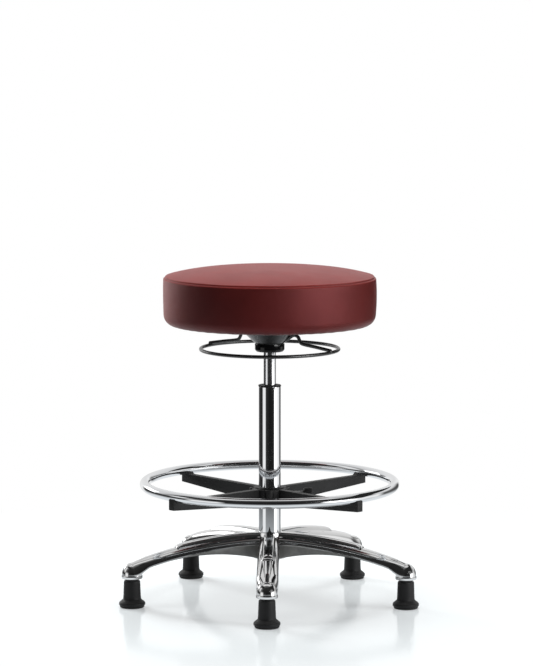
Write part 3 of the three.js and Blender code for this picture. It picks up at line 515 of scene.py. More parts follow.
# What builds each group, its output and its inputs with what they start at
GREY = (0.5, 0.5, 0.5)
EFFECTS = {
    "cloudy tone": (cloudy_tone, "Colour", {"Tone": GREY, "Other Tone": GREY, "Scale": 12.0}),
    "worn edge": (worn_edge, "Mask", {"Scale": 90.0, "Amount": 0.5}),
    "settled dust": (settled_dust, "Mask", {"Amount": 0.2}),
    "vinyl hide": (hide_grain, "Height", {"Cells": 900.0, "Padding": 3.0}),
    "moulded skin": (moulded_relief, "Height", {"Scale": 700.0}),
    "brushed lines": (brushed_lines, "Height", {"Scale": 60.0}),
}


def socket_kind(is_colour):
    return "NodeSocketColor" if is_colour else "NodeSocketFloat"


def effect(name):
    """The named shader group, built once."""
    tree = bpy.data.node_groups.get(name)
    if tree:
        return tree
    build, output, inputs = EFFECTS[name]
    tree = bpy.data.node_groups.new(name, "ShaderNodeTree")
    for label, start in inputs.items():
        is_colour = isinstance(start, tuple)
        socket = tree.interface.new_socket(name=label, in_out="INPUT",
                                           socket_type=socket_kind(is_colour))
        socket.default_value = (*start, 1) if is_colour else start
    tree.interface.new_socket(name=output, in_out="OUTPUT",
                              socket_type=socket_kind(output == "Colour"))
    given = tree.nodes.new("NodeGroupInput").outputs
    leave = tree.nodes.new("NodeGroupOutput")
    place = output_of(tree, "ShaderNodeTexCoord", "Object")
    tree.links.new(build(tree, place, given), leave.inputs[output])
    return tree


def use(tree, name, values):
    """Places a shared group with its own values."""
    node = tree.nodes.new("ShaderNodeGroup")
    node.node_tree = effect(name)
    for label, value in values.items():
        node.inputs[label].default_value = (*value, 1) if isinstance(value, tuple) else value
    return node.outputs[0]


# Finishes

VINYL, CHROME = ("stool_seat", "vinyl"), ("stool_lift", "chrome")
ALUMINIUM = ("stool_base", "aluminium")
DUST = (0.55, 0.53, 0.5)
# Each finish: two tones, each a colour or a share of a colour in the settings, the scale that
# they drift at, the span of its roughness, its relief (group, values, depth in metres), then
# worn edges (colour, amount, scale), dust and constant shader values where it has them
FINISHES = {
    "burgundy vinyl": dict(
        tones=((VINYL, 1.0), (VINYL, 0.86)), cloud=14.0, rough=(0.38, 0.47),
        relief=("vinyl hide", {"Cells": 850.0, "Padding": 2.2}, 0.00012),
        Specular_IOR_Level=0.8, Specular_Tint=(1.0, 0.34, 0.36, 1.0)),
    # The seam's cord is darker than the seat's vinyl: painted shade for the shaded line of the
    # seam.
    "seam cord vinyl": dict(
        tones=((VINYL, 0.8), (VINYL, 0.66)), cloud=30.0, rough=(0.38, 0.48),
        relief=("vinyl hide", {"Cells": 1200.0, "Padding": 0.5}, 0.0001)),
    "black dust cover": dict(
        tones=((0.012, 0.012, 0.0125), (0.022, 0.022, 0.023)), cloud=70.0, rough=(0.85, 0.95),
        relief=("vinyl hide", {"Cells": 500.0, "Padding": 1.0}, 0.0003), dust=0.05,
        Sheen_Weight=0.3),
    "chrome plate": dict(
        tones=((CHROME, 1.0), (CHROME, 0.97)), cloud=8.0, rough=(0.035, 0.07),
        relief=("moulded skin", {"Scale": 160.0}, 0.0000025), Metallic=1.0),
    "ground hard chrome": dict(
        tones=((CHROME, 1.0), (CHROME, 0.95)), cloud=8.0, rough=(0.13, 0.19),
        relief=("brushed lines", {"Scale": 14.0}, 0.0000006), Metallic=1.0),
    "polished aluminium": dict(
        tones=((ALUMINIUM, 1.0), (ALUMINIUM, 0.95)), cloud=10.0, rough=(0.05, 0.11),
        relief=("moulded skin", {"Scale": 55.0}, 0.00003), Metallic=1.0),
    "as-cast aluminium": dict(
        tones=((0.33, 0.33, 0.32), (0.25, 0.25, 0.245)), cloud=45.0, rough=(0.42, 0.6),
        relief=("moulded skin", {"Scale": 900.0}, 0.00012), wear=((0.6, 0.6, 0.6), 0.7, 120.0),
        Metallic=0.85),
    "zinc-plated steel": dict(
        tones=((0.6, 0.61, 0.62), (0.48, 0.49, 0.49)), cloud=60.0, rough=(0.22, 0.36),
        relief=("brushed lines", {"Scale": 90.0}, 0.00001), wear=((0.8, 0.8, 0.8), 0.5, 200.0),
        Metallic=1.0),
    "satin grey paint": dict(
        tones=((0.042, 0.044, 0.045), (0.034, 0.036, 0.037)), cloud=25.0, rough=(0.22, 0.3),
        relief=("moulded skin", {"Scale": 800.0}, 0.00003), wear=((0.3, 0.3, 0.31), 0.7, 140.0),
        Specular_IOR_Level=0.4, Coat_Weight=0.25, Coat_Roughness=0.2),
    "black powder coat": dict(
        tones=((0.012, 0.012, 0.0125), (0.018, 0.018, 0.0185)), cloud=30.0, rough=(0.22, 0.32),
        relief=("moulded skin", {"Scale": 1100.0}, 0.00003),
        wear=((0.12, 0.12, 0.12), 0.6, 160.0), dust=0.03, Specular_IOR_Level=0.9),
    "moulded black nylon": dict(
        tones=((0.009, 0.009, 0.0095), (0.014, 0.014, 0.0145)), cloud=22.0, rough=(0.4, 0.55),
        relief=("moulded skin", {"Scale": 1300.0}, 0.00006),
        wear=((0.06, 0.06, 0.062), 0.8, 150.0), dust=0.03, Specular_IOR_Level=0.32),
    "glossy black": dict(
        tones=((0.006, 0.006, 0.0065), (0.009, 0.009, 0.01)), cloud=20.0, rough=(0.07, 0.12),
        relief=("moulded skin", {"Scale": 120.0}, 0.00001), Specular_IOR_Level=0.3),
    "black rubber": dict(
        tones=((0.016, 0.016, 0.016), (0.026, 0.025, 0.024)), cloud=35.0, rough=(0.7, 0.85),
        relief=("moulded skin", {"Scale": 900.0}, 0.0001), dust=0.12),
    "natural nylon": dict(
        tones=((0.66, 0.65, 0.6), (0.6, 0.58, 0.52)), cloud=60.0, rough=(0.4, 0.5),
        relief=("moulded skin", {"Scale": 900.0}, 0.00004)),
    "raw plywood": dict(
        tones=((0.56, 0.36, 0.18), (0.42, 0.25, 0.11)), cloud=5.0, rough=(0.6, 0.75),
        relief=("brushed lines", {"Scale": 12.0}, 0.0002)),
}


def toned(tone):
    """A colour that is given as it is, or as a share of a colour in the settings."""
    if isinstance(tone[0], float):
        return tone
    (group, name), share = tone
    return tuple(c * share for c in getattr(getattr(bpy.context.scene, group), name))


def new_material(name):
    material = bpy.data.materials.new(name)
    material.use_nodes = True
    return material, material.node_tree


def material_of(name):
    """The named finish's material, made when it is first asked for."""
    return bpy.data.materials.get(name) or finish_material(name, **FINISHES[name])


def finish_material(name, tones, cloud, rough, relief, wear=None, dust=0.0, **fixed):
    """A finish: clouded colour, drifting roughness, relief, worn edges and a little dust."""
    material, tree = new_material(name)
    tone, other = (toned(t) for t in tones)
    colour = use(tree, "cloudy tone", {"Tone": tone, "Other Tone": other, "Scale": cloud})
    if wear:
        rubbed, amount, scale = wear
        mask = use(tree, "worn edge", {"Amount": amount, "Scale": scale})
        colour = blended(tree, mask, colour, rubbed)
    if dust:
        colour = blended(tree, use(tree, "settled dust", {"Amount": dust}), colour, DUST)
    place = output_of(tree, "ShaderNodeTexCoord", "Object")
    group, values, depth = relief
    inputs = tree.nodes["Principled BSDF"].inputs
    for label, output in (("Base Color", colour),
                          ("Roughness", spread(tree, noise(tree, place, 26.0, 4.0), given=rough)),
                          ("Normal", raised(tree, use(tree, group, values), depth))):
        tree.links.new(output, inputs[label])
    for label, value in fixed.items():
        inputs[label.replace("_", " ")].default_value = value
    return material


# Seat

SEAT_BOTTOM = levels_of("seat_cover")[0]
SEAT_SEAM = 739.0
SEAM_OUT, SEAM_DOWN = 3.0, 4.0  # groove of the seam, out and down from the top panel's edge
COVER_RECESS = 1.1  # shallow hollow under the seat, which the dust cover lies in
CORNER_IN, CORNER_UP = 217.0, 25.0  # where the rounded lower corner starts and ends
SIDE_FROM, SIDE_TO = 18.0, 104.0  # the side band, over the seat's bottom
CORD_POINTS = 80
CROWN_SHARES = (0.985, 0.965, 0.94, 0.9, 0.86, 0.8, 0.73, 0.65, 0.56, 0.46, 0.36, 0.25, 0.14,
                0.05)
CLOTH = {"quality": 5, "mass": 0.35, "tension_stiffness": 25, "compression_stiffness": 25,
         "bending_stiffness": 1.5, "use_pressure": True, "uniform_pressure_force": 4.0,
         "vertex_group_mass": "held"}
CLOTH_FRAMES = 20
CLOTH_CELL = 0.0065  # size of the cloth's faces, in metres
HELD_UNDER, HELD_BAND = 0.003, 0.006  # height and half width of what is held, in metres
SEAM_HOLD = 0.85
NEIGHBOURS, NEAR = 24, 0.009  # points that share their swelling, and how far it reaches
PLEATS, PLEAT_DEPTH = 47, 0.0007
PLEATS_FROM, PLEATS_TOP = 200.0, 12.0  # radius and height
STITCHES, STITCH_DEPTH = 150, 0.00018
STITCH_REACH, STITCH_WIDTH = 231.0, 4.0
STAPLES, STAPLE_REACH = 36, 189.0


def cushion_profile(inset=0.0):
    """Half outline of the padded seat, from under its middle round to the top of the crown.

    inset is how far the side and the crown lie in, between the seam and the board's edge.
    """
    look = bpy.context.scene.stool_seat
    seam, side = look.seam_radius, look.side_radius
    bend, wall_top = SEAT_BOTTOM + CORNER_UP, SEAT_SEAM - 8.2
    crown_top = look.crown_rise - inset
    under = [(reach, SEAT_BOTTOM + COVER_RECESS) for reach in (0.0, 90.0, 170.0, 192.0, 195.5)]
    under += [(198.0, SEAT_BOTTOM), (209.0, SEAT_BOTTOM)]
    corner = arc((CORNER_IN, bend), (side - CORNER_IN - inset / 2, CORNER_UP), -90, 0, 12)
    wall = [(side + (1 - s) * (6.4 * s - inset * (0.5 + 2 * s)), mix(bend, wall_top, s))
            for s in (k / 12 for k in range(1, 12))]
    shoulder = arc((seam + 2.0, wall_top), (side - seam - 2.0, 4.6), 0, 66, 6)
    groove = [(seam + SEAM_OUT, SEAT_SEAM - SEAM_DOWN)]
    roll = arc((seam - 0.8, SEAT_SEAM - 3.5), (4.2, 3.8), 8, 84, 6)
    crown = [(seam * s, SEAT_SEAM + crown_top * (1 - s ** 4)) for s in CROWN_SHARES]
    middle = [(0.0, SEAT_SEAM + look.crown_rise - inset)]
    return under + corner + wall + shoulder + groove + roll + crown + middle


def swelling():
    """How far the stuffed seat swells: (points, movements) in metres from a short cloth run.

    A slightly smaller seat is remeshed, pinned flat where it lies on the board and held
    along the seam, and blown up under pressure with no gravity.
    """
    scene = bpy.context.scene
    look = scene.stool_seat
    body = make_piece("cushion_form", [turned(cushion_profile(look.swell), 96)], [])
    remesh = body.modifiers.new("remesh", "REMESH")
    remesh.mode = "VOXEL"
    remesh.voxel_size = CLOTH_CELL
    with_modifiers(body)
    rest = [vertex.co.copy() for vertex in body.data.vertices]
    floor = SEAT_BOTTOM * MILLIMETRE + HELD_UNDER
    seam, seam_low = look.seam_radius * MILLIMETRE, (SEAT_SEAM - 6.0) * MILLIMETRE
    held = body.vertex_groups.new(name=CLOTH["vertex_group_mass"])
    for i, point in enumerate(rest):
        reach = math.hypot(point.x - COLUMN.x, point.y - COLUMN.y)
        if point.z < floor:
            held.add([i], 1.0, "REPLACE")
        elif abs(reach - seam) < HELD_BAND and point.z > seam_low:
            held.add([i], SEAM_HOLD, "REPLACE")
    cloth = body.modifiers.new("cloth", "CLOTH")
    for name, value in CLOTH.items():
        setattr(cloth.settings, name, value)
    cloth.settings.effector_weights.gravity = 0.0
    cloth.collision_settings.use_collision = False
    for step in range(1, CLOTH_FRAMES + 1):
        scene.frame_set(step)
    with_modifiers(body)
    cap = look.swell_limit * MILLIMETRE
    movements = []
    for start, vertex in zip(rest, body.data.vertices):
        move = vertex.co - start
        movements.append(move * min(1.0, cap / max(move.length, 1e-9)))
    bpy.data.objects.remove(body)
    scene.frame_set(1)
    return rest, movements


def swollen(piece):
    """Passes the swelling to the fine cushion, smoothed over neighbouring points."""
    rest, movements = swelling()
    tree = kdtree.KDTree(len(rest))
    for i, point in enumerate(rest):
        tree.insert(point, i)
    tree.balance()
    for vertex in piece.data.vertices:
        total, weight = Vector(), 0.0
        for _, i, distance in tree.find_n(vertex.co, NEIGHBOURS):
            share = math.exp(-(distance / NEAR) ** 2)
            total += movements[i] * share
            weight += share
        if weight > 1e-6:
            vertex.co += total / weight


def tuck(piece):
    """Small pleats where the cover turns under, a slow sag round the side, and stitches."""
    for vertex in piece.data.vertices:
        flat = vertex.co - COLUMN
        reach, angle = math.hypot(flat.x, flat.y) / MILLIMETRE, math.atan2(flat.y, flat.x)
        low = flat.z / MILLIMETRE - SEAT_BOTTOM
        if reach > PLEATS_FROM and low < PLEATS_TOP:
            near = eased((reach - PLEATS_FROM) / 14.0)
            near *= 1 - eased((low - 1.0) / (PLEATS_TOP - 1.0))
            pleat = math.sin(PLEATS * angle + 2.1 * math.sin(5 * angle))
            vertex.co.z += PLEAT_DEPTH * near * max(0.0, pleat)
        if SIDE_FROM < low < SIDE_TO:
            slow = 0.4 * math.sin(3 * angle + 0.7) + 0.25 * math.sin(7 * angle + 1.9)
            ends = eased((low - SIDE_FROM) / 30.0), eased((SIDE_TO - low) / 30.0)
            scale = 1 + slow * ends[0] * ends[1] / reach
            vertex.co.x = COLUMN.x + flat.x * scale
            vertex.co.y = COLUMN.y + flat.y * scale
        elif low > SIDE_TO:
            near_seam = math.exp(-((reach - STITCH_REACH) / STITCH_WIDTH) ** 2)
            vertex.co.z -= STITCH_DEPTH * near_seam * (1 + math.sin(STITCHES * angle))


def build_seat():
    """The padded vinyl seat with its sewn edge."""
    inset = bpy.context.scene.stool_seat.swell
    shape = turned(cushion_profile(inset), 160)
    cushion = make_piece("seat_cushion", [shape], ["burgundy vinyl"], 60)
    swollen(cushion)
    tuck(cushion)
    finer = cushion.modifiers.new("subdivision", "SUBSURF")
    finer.levels = finer.render_levels = 1
    with_modifiers(cushion, 70)
    fit(cushion, "seat_carrier", "vinyl", "seat_cover", "seat_foam")
    sew_seam(cushion)


def sew_seam(cushion):
    """The thin cord of folded vinyl sewn in between the top panel and the side band, darker than
    the seat's vinyl as painted shade along the seam.
    """
    groove = bpy.context.scene.stool_seat.seam_radius + SEAM_OUT
    turn = 360.0 / CORD_POINTS
    found = {}
    for vertex in cushion.data.vertices:
        flat = (vertex.co - COLUMN) / MILLIMETRE
        reach = math.hypot(flat.x, flat.y)
        away = math.hypot(reach - groove, flat.z - SEAT_SEAM + SEAM_DOWN)
        key = round(math.degrees(math.atan2(flat.y, flat.x)) / turn) % CORD_POINTS
        found[key] = min(found.get(key, (math.inf, 0.0, 0.0)), (away, reach, flat.z))
    path = []
    for key in range(CORD_POINTS):
        _, reach, height = found[key]
        path.append(around(reach, math.radians(turn * key), height))
    add_piece("seat_seam", [swept(path, 0.7, 8, loop=True)], "seam cord vinyl",
              "seat_carrier", "vinyl", sharp=60)


def build_seat_underside():
    """The dust cover, its staples, and the hidden board's finish."""
    low, high = levels_of("dust_cover")
    waves = [(190.0 * k / 18, low + 0.25 * math.sin(k * 1.9)) for k in range(1, 19)]
    edge = rounded([(190.0, low, 0), (196.0, low, 0.5), (196.0, high, 0.5), (190.0, high, 0)], 3)
    add_piece("dust_cover_cloth", [turned([(0.0, low)] + waves + edge + [(0.0, high)], 96)],
              "black dust cover", "seat_carrier", "fleece", "dust_cover", sharp=50)
    half = [(5.0, 0, low + 0.6), (5.0, 0, low - 0.1), (4.6, 0, low - 0.45)]
    staple = swept([(-x, y, z) for x, y, z in half] + half[::-1], 0.42, 6)
    staples = []
    for k in range(STAPLES):
        leaning = spun(staple, 90 + 12.0 * math.sin(k * 2.7))
        reach = STAPLE_REACH + 0.8 * math.sin(k * 1.3)
        staples.append(spun(shifted(leaning, reach), 360.0 / STAPLES * k))
    add_piece("cover_staples", staples, "zinc-plated steel", "seat_carrier", "steel")
    dress("raw plywood", "seat_board")


# Seat carrier

PLATE_HALF, PLATE_TURN = 113.0, 20.0
PLATE_SCREWS = {"a": 65.0, "b": 155.0, "c": 245.0, "d": 335.0}
PLATE_SCREW_REACH = 89.0 * math.sqrt(2)
PLATE_SCREW = ((2.4, 1.6, 0.1), ((5.0, 0.0, 2.0), (6.5, 2.6, 1.2), (6.5, 4.0, 0)),
               (3.0, 16.0), 32)
HOUSING_BOTTOM = 575.8
SLOT_LOW, SLOT_HALF, SLOT_REACH = 586.5, 6.0, 61.0
RELEASE_LEVEL = 573.0


def build_plate():
    """The square mounting plate with its pressed dish, and its four screws."""
    dish, top = levels_of("mounting_plate")
    bottom = top - 3.0
    corners = [(x * PLATE_HALF, y * PLATE_HALF, 10.0)
               for x, y in ((1, 1), (-1, 1), (-1, -1), (1, -1))]
    outline = rounded(corners, 6, loop=True)
    outline = divided(outline + outline[:1], 50, 24)[:-1]
    rim = [[(x, y, level) for x, y in (offset_outline(outline, inset) if inset else outline)]
           for inset, level in ((0.0, top), (0.0, bottom + 0.8), (-0.8, bottom))]
    pressed = [
        (76.0, bottom), (73.5, bottom - 0.6), (71.2, bottom - 2.4), (70.0, bottom - 4.5),
        (70.0, dish + 4.0), (68.8, dish + 1.4), (66.0, dish), (24.5, dish), (24.0, dish + 0.5),
        (24.0, dish + 3.0), (66.0, dish + 3.0), (67.0, dish + 4.0), (67.0, top)]
    bearings = [math.atan2(y, x) for x, y in outline]
    rounds = [[around(radius, a, level) for a in bearings] for radius, level in pressed]
    add_piece("seat_plate", [spun(skinned(rim + rounds, closed=True), PLATE_TURN)],
              "black powder coat", "seat_carrier", "black_steel", "mounting_plate", sharp=35)
    for letter, angle in PLATE_SCREWS.items():
        node = "plate_screw_" + letter
        screw = screw_shape(levels_of(node)[0], *PLATE_SCREW)
        add_piece("plate_bolt_screw_" + letter, [spun(shifted(screw, PLATE_SCREW_REACH), angle)],
                  "zinc-plated steel", "seat_carrier", "steel", node)


def build_housing():
    """The grey cone under the seat, with a slot on each side for the release arms."""
    floor, flange = HOUSING_BOTTOM, levels_of("mechanism_housing")[1]
    shelf, between = flange - 2.5, 44
    profile = divided(rounded([
        (20.4, floor, 0), (31.0, floor, 1.5), (31.0, 587.2, 0.8), (35.5, 588.4, 1.6),
        (60.0, shelf, 2.0), (67.0, shelf + 0.2, 0.6), (67.0, flange, 0.6), (58.0, flange, 0)], 4),
        12, 8)
    levels = []
    for radius, height in profile:
        half = math.degrees(math.asin(min(1.0, SLOT_HALF / radius)))
        angles = []
        for start in ARM_ANGLES:
            angles += [start + half * k for k in (-1, -0.33, 0.33)]
            angles += [mix(start + half, start + 180.0 - half, k / between)
                       for k in range(between)]
        levels.append([around(radius, math.radians(a), height) for a in angles])
    points, faces = skinned(levels)
    count = len(levels[0])

    def in_slot(ring, k):
        here, after = profile[ring], profile[ring + 1]
        beside_arm = k % (count // 2) < 3
        middle = (here[1] + after[1]) / 2
        return beside_arm and here[0] < SLOT_REACH and SLOT_LOW < middle < shelf - 0.6

    faces = [face for i, face in enumerate(faces) if not in_slot(*divmod(i, count))]
    housing = make_piece("housing_cone", [(points, faces)], ["satin grey paint"], 35)
    wall = housing.modifiers.new("wall", "SOLIDIFY")
    wall.thickness = 0.0022
    wall.offset = -1.0
    with_modifiers(housing, 35)
    fit(housing, "seat_carrier", "grey_steel", "mechanism_housing")


def build_collar():
    """The glossy collar that hides the taper."""
    low, high = levels_of("socket_collar")
    collar = lathed([
        (20.3, low + 1.0, 0), (22.0, low + 0.2, 0.8), (30.4, low, 3.0), (33.6, low + 4.6, 3.4),
        (33.6, high, 0.7), (31.4, high, 0.2), (31.4, low + 8.4, 0), (20.3, low + 8.4, 0)], 5, 96)
    add_piece("taper_collar", [collar], "glossy black", "seat_carrier", "black_gloss",
              "socket_collar", sharp=40)


def build_release_ring():
    """The release ring on its two bent arms, with the welds that join them."""
    look = bpy.context.scene.stool_lift
    rod = look.release_rod_radius
    ring = circle(look.release_ring_radius, RELEASE_LEVEL, 160)
    knots = ((158.0, 577.6), (120.5, 583.6), (83.0, 589.6), (74.0, 603.5), (66.0, 607.5),
             (58.0, 605.5), (45.0, 597.5), (27.0, 595.6))
    arm = swept(curve_through([(x, 0.0, z) for x, z in knots], 9, 0.35), rod, 14)
    weld = ball((156.4, 0.0, 575.6), (4.6, 5.4, 4.9))
    bead = [(156.0 + 0.6 * math.cos(4 * a), 4.6 * math.cos(a), 574.6 + 3.0 * math.sin(a))
            for a in turns(32)]
    shapes = [swept(ring, rod, 16, loop=True)]
    for angle in ARM_ANGLES:
        shapes += [spun(shape, angle) for shape in (arm, weld, swept(bead, 1.3, 8, loop=True))]
    add_piece("release_ring_rod", shapes, "black powder coat", "release_lever", "black_steel",
              "release_ring", sharp=50)
    dress("zinc-plated steel", "actuator_cup", "taper_socket",
          *("tee_nut_" + letter for letter in PLATE_SCREWS))
    dress("natural nylon", "valve_button")


# Gas lift

COLUMN_SHOULDER = 157.0  # the column tube tapers into the base below this level
NECK = 565.5  # the pressure tube narrows above this level


def build_lift():
    """The column tube, its bush, the pressure tube and the finishes of what they hide."""
    look = bpy.context.scene.stool_lift
    outside, inside = look.column_radius, look.column_radius - 2.0
    foot, top = levels_of("column_tube")
    column = lathed([
        (outside - 3.5, foot, 0), (outside - 1.5, foot, 0.8),
        (outside - 0.02, COLUMN_SHOULDER, 20.0), (outside, top, 0.5), (inside, top, 0.3),
        (inside, COLUMN_SHOULDER, 0)], 5, 128)
    add_piece("column_outer_tube", [column], "chrome plate", "base", "chrome", "column_tube",
              sharp=40)
    lip = levels_of("guide_bush")[1]
    bush = lathed([
        (14.5, lip - 40.0, 0), (22.6, lip - 40.0, 0), (22.6, top + 0.3, 0), (25.8, top + 0.3, 0.3),
        (25.8, lip - 0.9, 0.4), (24.6, lip, 0.7), (17.6, lip, 0.4), (17.2, lip - 0.7, 0.3),
        (15.0, lip - 0.7, 0.4), (14.5, lip - 1.4, 0.3)], 4, 96)
    add_piece("bush_lip", [bush], "moulded black nylon", "base", "black_nylon", "guide_bush",
              sharp=35)
    low, high = levels_of("pressure_tube")
    tube = lathed([
        (12.5, low, 0), (look.tube_radius, low, 0.6), (look.tube_radius, NECK, 0),
        (12.9, high, 0.6), (4.5, high, 0.4), (4.5, high - 5.0, 0), (11.4, high - 5.0, 0),
        (12.5, NECK, 0)], 4, 96)
    add_piece("lift_inner_tube", [tube], "ground hard chrome", "seat_carrier", "chrome",
              "pressure_tube", sharp=40)
    dress("zinc-plated steel", "column_end_plate", "bearing_lower_race", "bearing_ball_cage",
          "bearing_upper_race", "piston_rod", "rod_washer", "rod_clip")
    dress("moulded black nylon", "piston", "tube_end_guide")
    dress("black rubber", "lift_bumper")


# Foot ring

HUB_BOTTOM, HUB_TOP = 219.5, 256.5
FOOT_RING_LEVEL = 266.0
LOBE_ANGLES = (0.0, 90.0, 180.0, 270.0)
LOBE_LIFT = 0.02  # keeps the lobes' faces off the barrel's, for the union
KNOB_LEVEL, KNOB_START, KNOB_LENGTH = 245.2, 76.0, 22.0
KNOB_SIDES = 96
SADDLE_SCREW = ((2.2, 1.7, 0.3), ((4.0, 0.0, 1.5), (5.5, 1.8, 1.0), (5.5, 3.6, 0)),
                (2.8, 21.0), 28)


def foot_ring_shape(clearance, count, sides):
    look = bpy.context.scene.stool_foot_ring
    path = circle(look.ring_radius, FOOT_RING_LEVEL, count)
    return swept(path, look.tube_radius + clearance, sides, loop=True)


def build_foot_ring():
    """The chrome foot ring."""
    add_piece("foot_ring_tube", [foot_ring_shape(0.0, 240, 28)], "chrome plate", "foot_rest",
              "chrome", "foot_ring", sharp=60)


def spoke_solid(look):
    """One spoke: a tapering bar that ends in a raised block under the ring."""
    end, half, raised_top = look.ring_radius + 12.0, look.spoke_width / 2, HUB_TOP + 5.0
    side = rounded([
        (20.0, HUB_BOTTOM, 0), (40.5, HUB_BOTTOM, 6.0), (end, 237.0, 1.2), (end, raised_top, 1.2),
        (end - 22.0, raised_top, 2.5), (end - 27.0, HUB_TOP, 2.5), (20.0, HUB_TOP, 0)], 4)
    upright = Matrix(((1, 0, 0, 0), (0, 0, -1, 0), (0, 1, 0, 0), (0, 0, 0, 1)))
    return moved(prism(side, -half, half, 1.1), upright)


def hub_part(base, top, core, radius, steps):
    """A solid cylinder of the hub with slightly rounded edges."""
    side = rounded([(core[0], base, 0), (radius, base, 1.0), (radius, top, 1.2),
                    (core[1], top, 0)], 4)
    return turned([(0.0, base)] + side + [(0.0, top)], steps)


def build_foot_hub():
    """The moulded hub with lobes, wells and four spokes, hollow underneath."""
    look = bpy.context.scene.stool_foot_ring
    barrel = hub_part(HUB_BOTTOM, HUB_TOP, (38.0, 34.0), 40.5, 96)
    lobe = hub_part(HUB_BOTTOM + LOBE_LIFT, HUB_TOP + LOBE_LIFT, (5.0, 5.0), 11.5, 40)
    bore = turned([(0, 200), (29.0, 200), (29.0, 280), (0, 280)], 96)
    well = turned([(0, HUB_TOP - 6), (4.2, HUB_TOP - 6), (4.2, HUB_TOP - 0.6),
                   (4.9, HUB_TOP + 0.2), (4.9, 270), (0, 270)], 32)
    channel = block(52.0, 258.0, 4.5, 200.0, 252.5)
    recess = turned([(0, 225), (5.9, 225), (5.9, 240.6), (0, 240.6)], 32)

    def parts(name, shape, reach, angles):
        return [make_piece(f"{name}_{i}", [spun(shifted(shape, reach), angle)],
                           ["moulded black nylon"]) for i, angle in enumerate(angles)]

    spokes = tuple(SPOKE_ANGLES.values())
    hub = make_piece("foot_hub", [barrel], ["moulded black nylon"])
    joined = parts("lobe", lobe, 34.5, LOBE_ANGLES) + parts("spoke", spoke_solid(look), 0, spokes)
    cutters = parts("bore", bore, 0.0, (0.0,)) + parts("well", well, 38.0, LOBE_ANGLES)
    for angle in spokes:
        cutters += parts("channel", channel, 0.0, (angle,))
        cutters += parts("recess", recess, look.ring_radius, (angle,))
    cutters += parts("cradle", foot_ring_shape(0.25, 180, 24), 0.0, (0.0,))
    cut_and_joined(hub, joined, cutters, 30)
    fit(hub, "foot_rest", "black_nylon", "foot_ring_hub")


def build_sleeve():
    """The flanged sleeve between the hub and the column."""
    above, below = HUB_TOP + 0.3, HUB_BOTTOM - 0.3
    collar = lathed([
        (25.5, above, 0), (33.0, above, 0.4), (33.0, HUB_TOP + 2.3, 0.8),
        (28.0, HUB_TOP + 2.3, 0.6), (26.6, HUB_TOP + 1.7, 0.4), (25.5, HUB_TOP + 1.7, 0.3),
        (25.5, HUB_BOTTOM - 2.3, 0.4), (31.0, HUB_BOTTOM - 2.3, 0.6), (31.0, below, 0.3),
        (28.6, below, 0), (28.6, above, 0)], 3, 96)
    add_piece("sleeve_flange", [collar], "moulded black nylon", "foot_sleeve", "black_nylon",
              "column_sleeve", sharp=30)


def build_saddle_screws():
    """The screws that hold the ring on its four spokes."""
    reach = bpy.context.scene.stool_foot_ring.ring_radius
    for letter, angle in SPOKE_ANGLES.items():
        node = "saddle_screw_" + letter
        screw = screw_shape(levels_of(node)[0], *SADDLE_SCREW)
        add_piece("saddle_bolt_" + letter, [spun(shifted(screw, reach), angle)],
                  "zinc-plated steel", "foot_rest", "steel", node)


def build_knob():
    """The fluted clamp knob and its threaded stud."""
    profile = ((0.0, 7.5), (0.0, 9.0), (1.6, 10.2), (2.2, 11.0), (4.0, 11.6), (9.0, 12.0),
               (17.0, 12.0), (20.0, 11.5), (21.5, 10.3), (22.0, 8.6), (21.6, 7.6), (21.2, 6.8))
    levels = []
    for height, wide in profile:
        flute = 0.9 * eased(height / 4.0) * eased((KNOB_LENGTH - height) / 2.5) * (wide > 9.9)
        ring = []
        for angle in turns(KNOB_SIDES):
            reach = wide - flute * (1 - abs(math.cos(4 * angle)) ** 0.6)
            ring.append(around(reach, angle, height))
        levels.append(ring)
    points, faces = skinned(levels + [[(0, 0, 21.2)]])
    faces.append(list(range(KNOB_SIDES))[::-1])
    add_piece("clamp_hand_knob", [laid_along_x((points, faces), KNOB_START, KNOB_LEVEL)],
              "moulded black nylon", "clamp", "black_nylon", "clamp_knob", sharp=40)
    thread = [(0.0, 28.9), (3.6, 28.9)]
    for z in (29.5 + 1.25 * k for k in range(38)):
        thread += [(3.35, z), (4.0, z + 0.45), (4.0, z + 0.7), (3.35, z + 1.15)]
    thread += [(3.35, 78.5), (0.0, 78.5)]
    add_piece("threaded_stud", [laid_along_x(turned(thread, 24), 0, KNOB_LEVEL)],
              "zinc-plated steel", "clamp", "steel", "clamp_stud", sharp=30)


# Base

CREST = ((25.0, 150.0), (180.0, 149.5), (323.0, 101.5))
LEG_START, TIP_REACH = 25.0, 323.0
NARROWING = 284.0  # the leg turns into its round tip past this reach
WEB_END = 240.0
SPINE_FADE, TOE = 207.0, 222.0  # where the spine starts to end, and where it has ended
SPINE_LOW, SPINE_HIGH = 1.4, 6.1
HALF_AT_HUB, HALF_AT_TIP = 24.75, 23.1
DOME_POWER = 2.05


def web_curve():
    return ((LEG_START, 97.0), (132.0, 126.0), (WEB_END, height_on(CREST, WEB_END) - 21.5))


def spine_at(reach):
    """Rise and half width of the spine along a leg, which ends in a rounded toe."""
    if reach >= TOE:
        share = (reach - TOE) / (TIP_REACH - TOE)
        return SPINE_LOW, mix(20.0, 7.0, share) / 2
    fading = max(0.0, reach - SPINE_FADE) / (TOE - SPINE_FADE)
    roundness = math.sqrt(max(0.0, 1 - fading ** 2))
    return SPINE_LOW + SPINE_HIGH * roundness, (20.0 + 9.0 * roundness) / 2


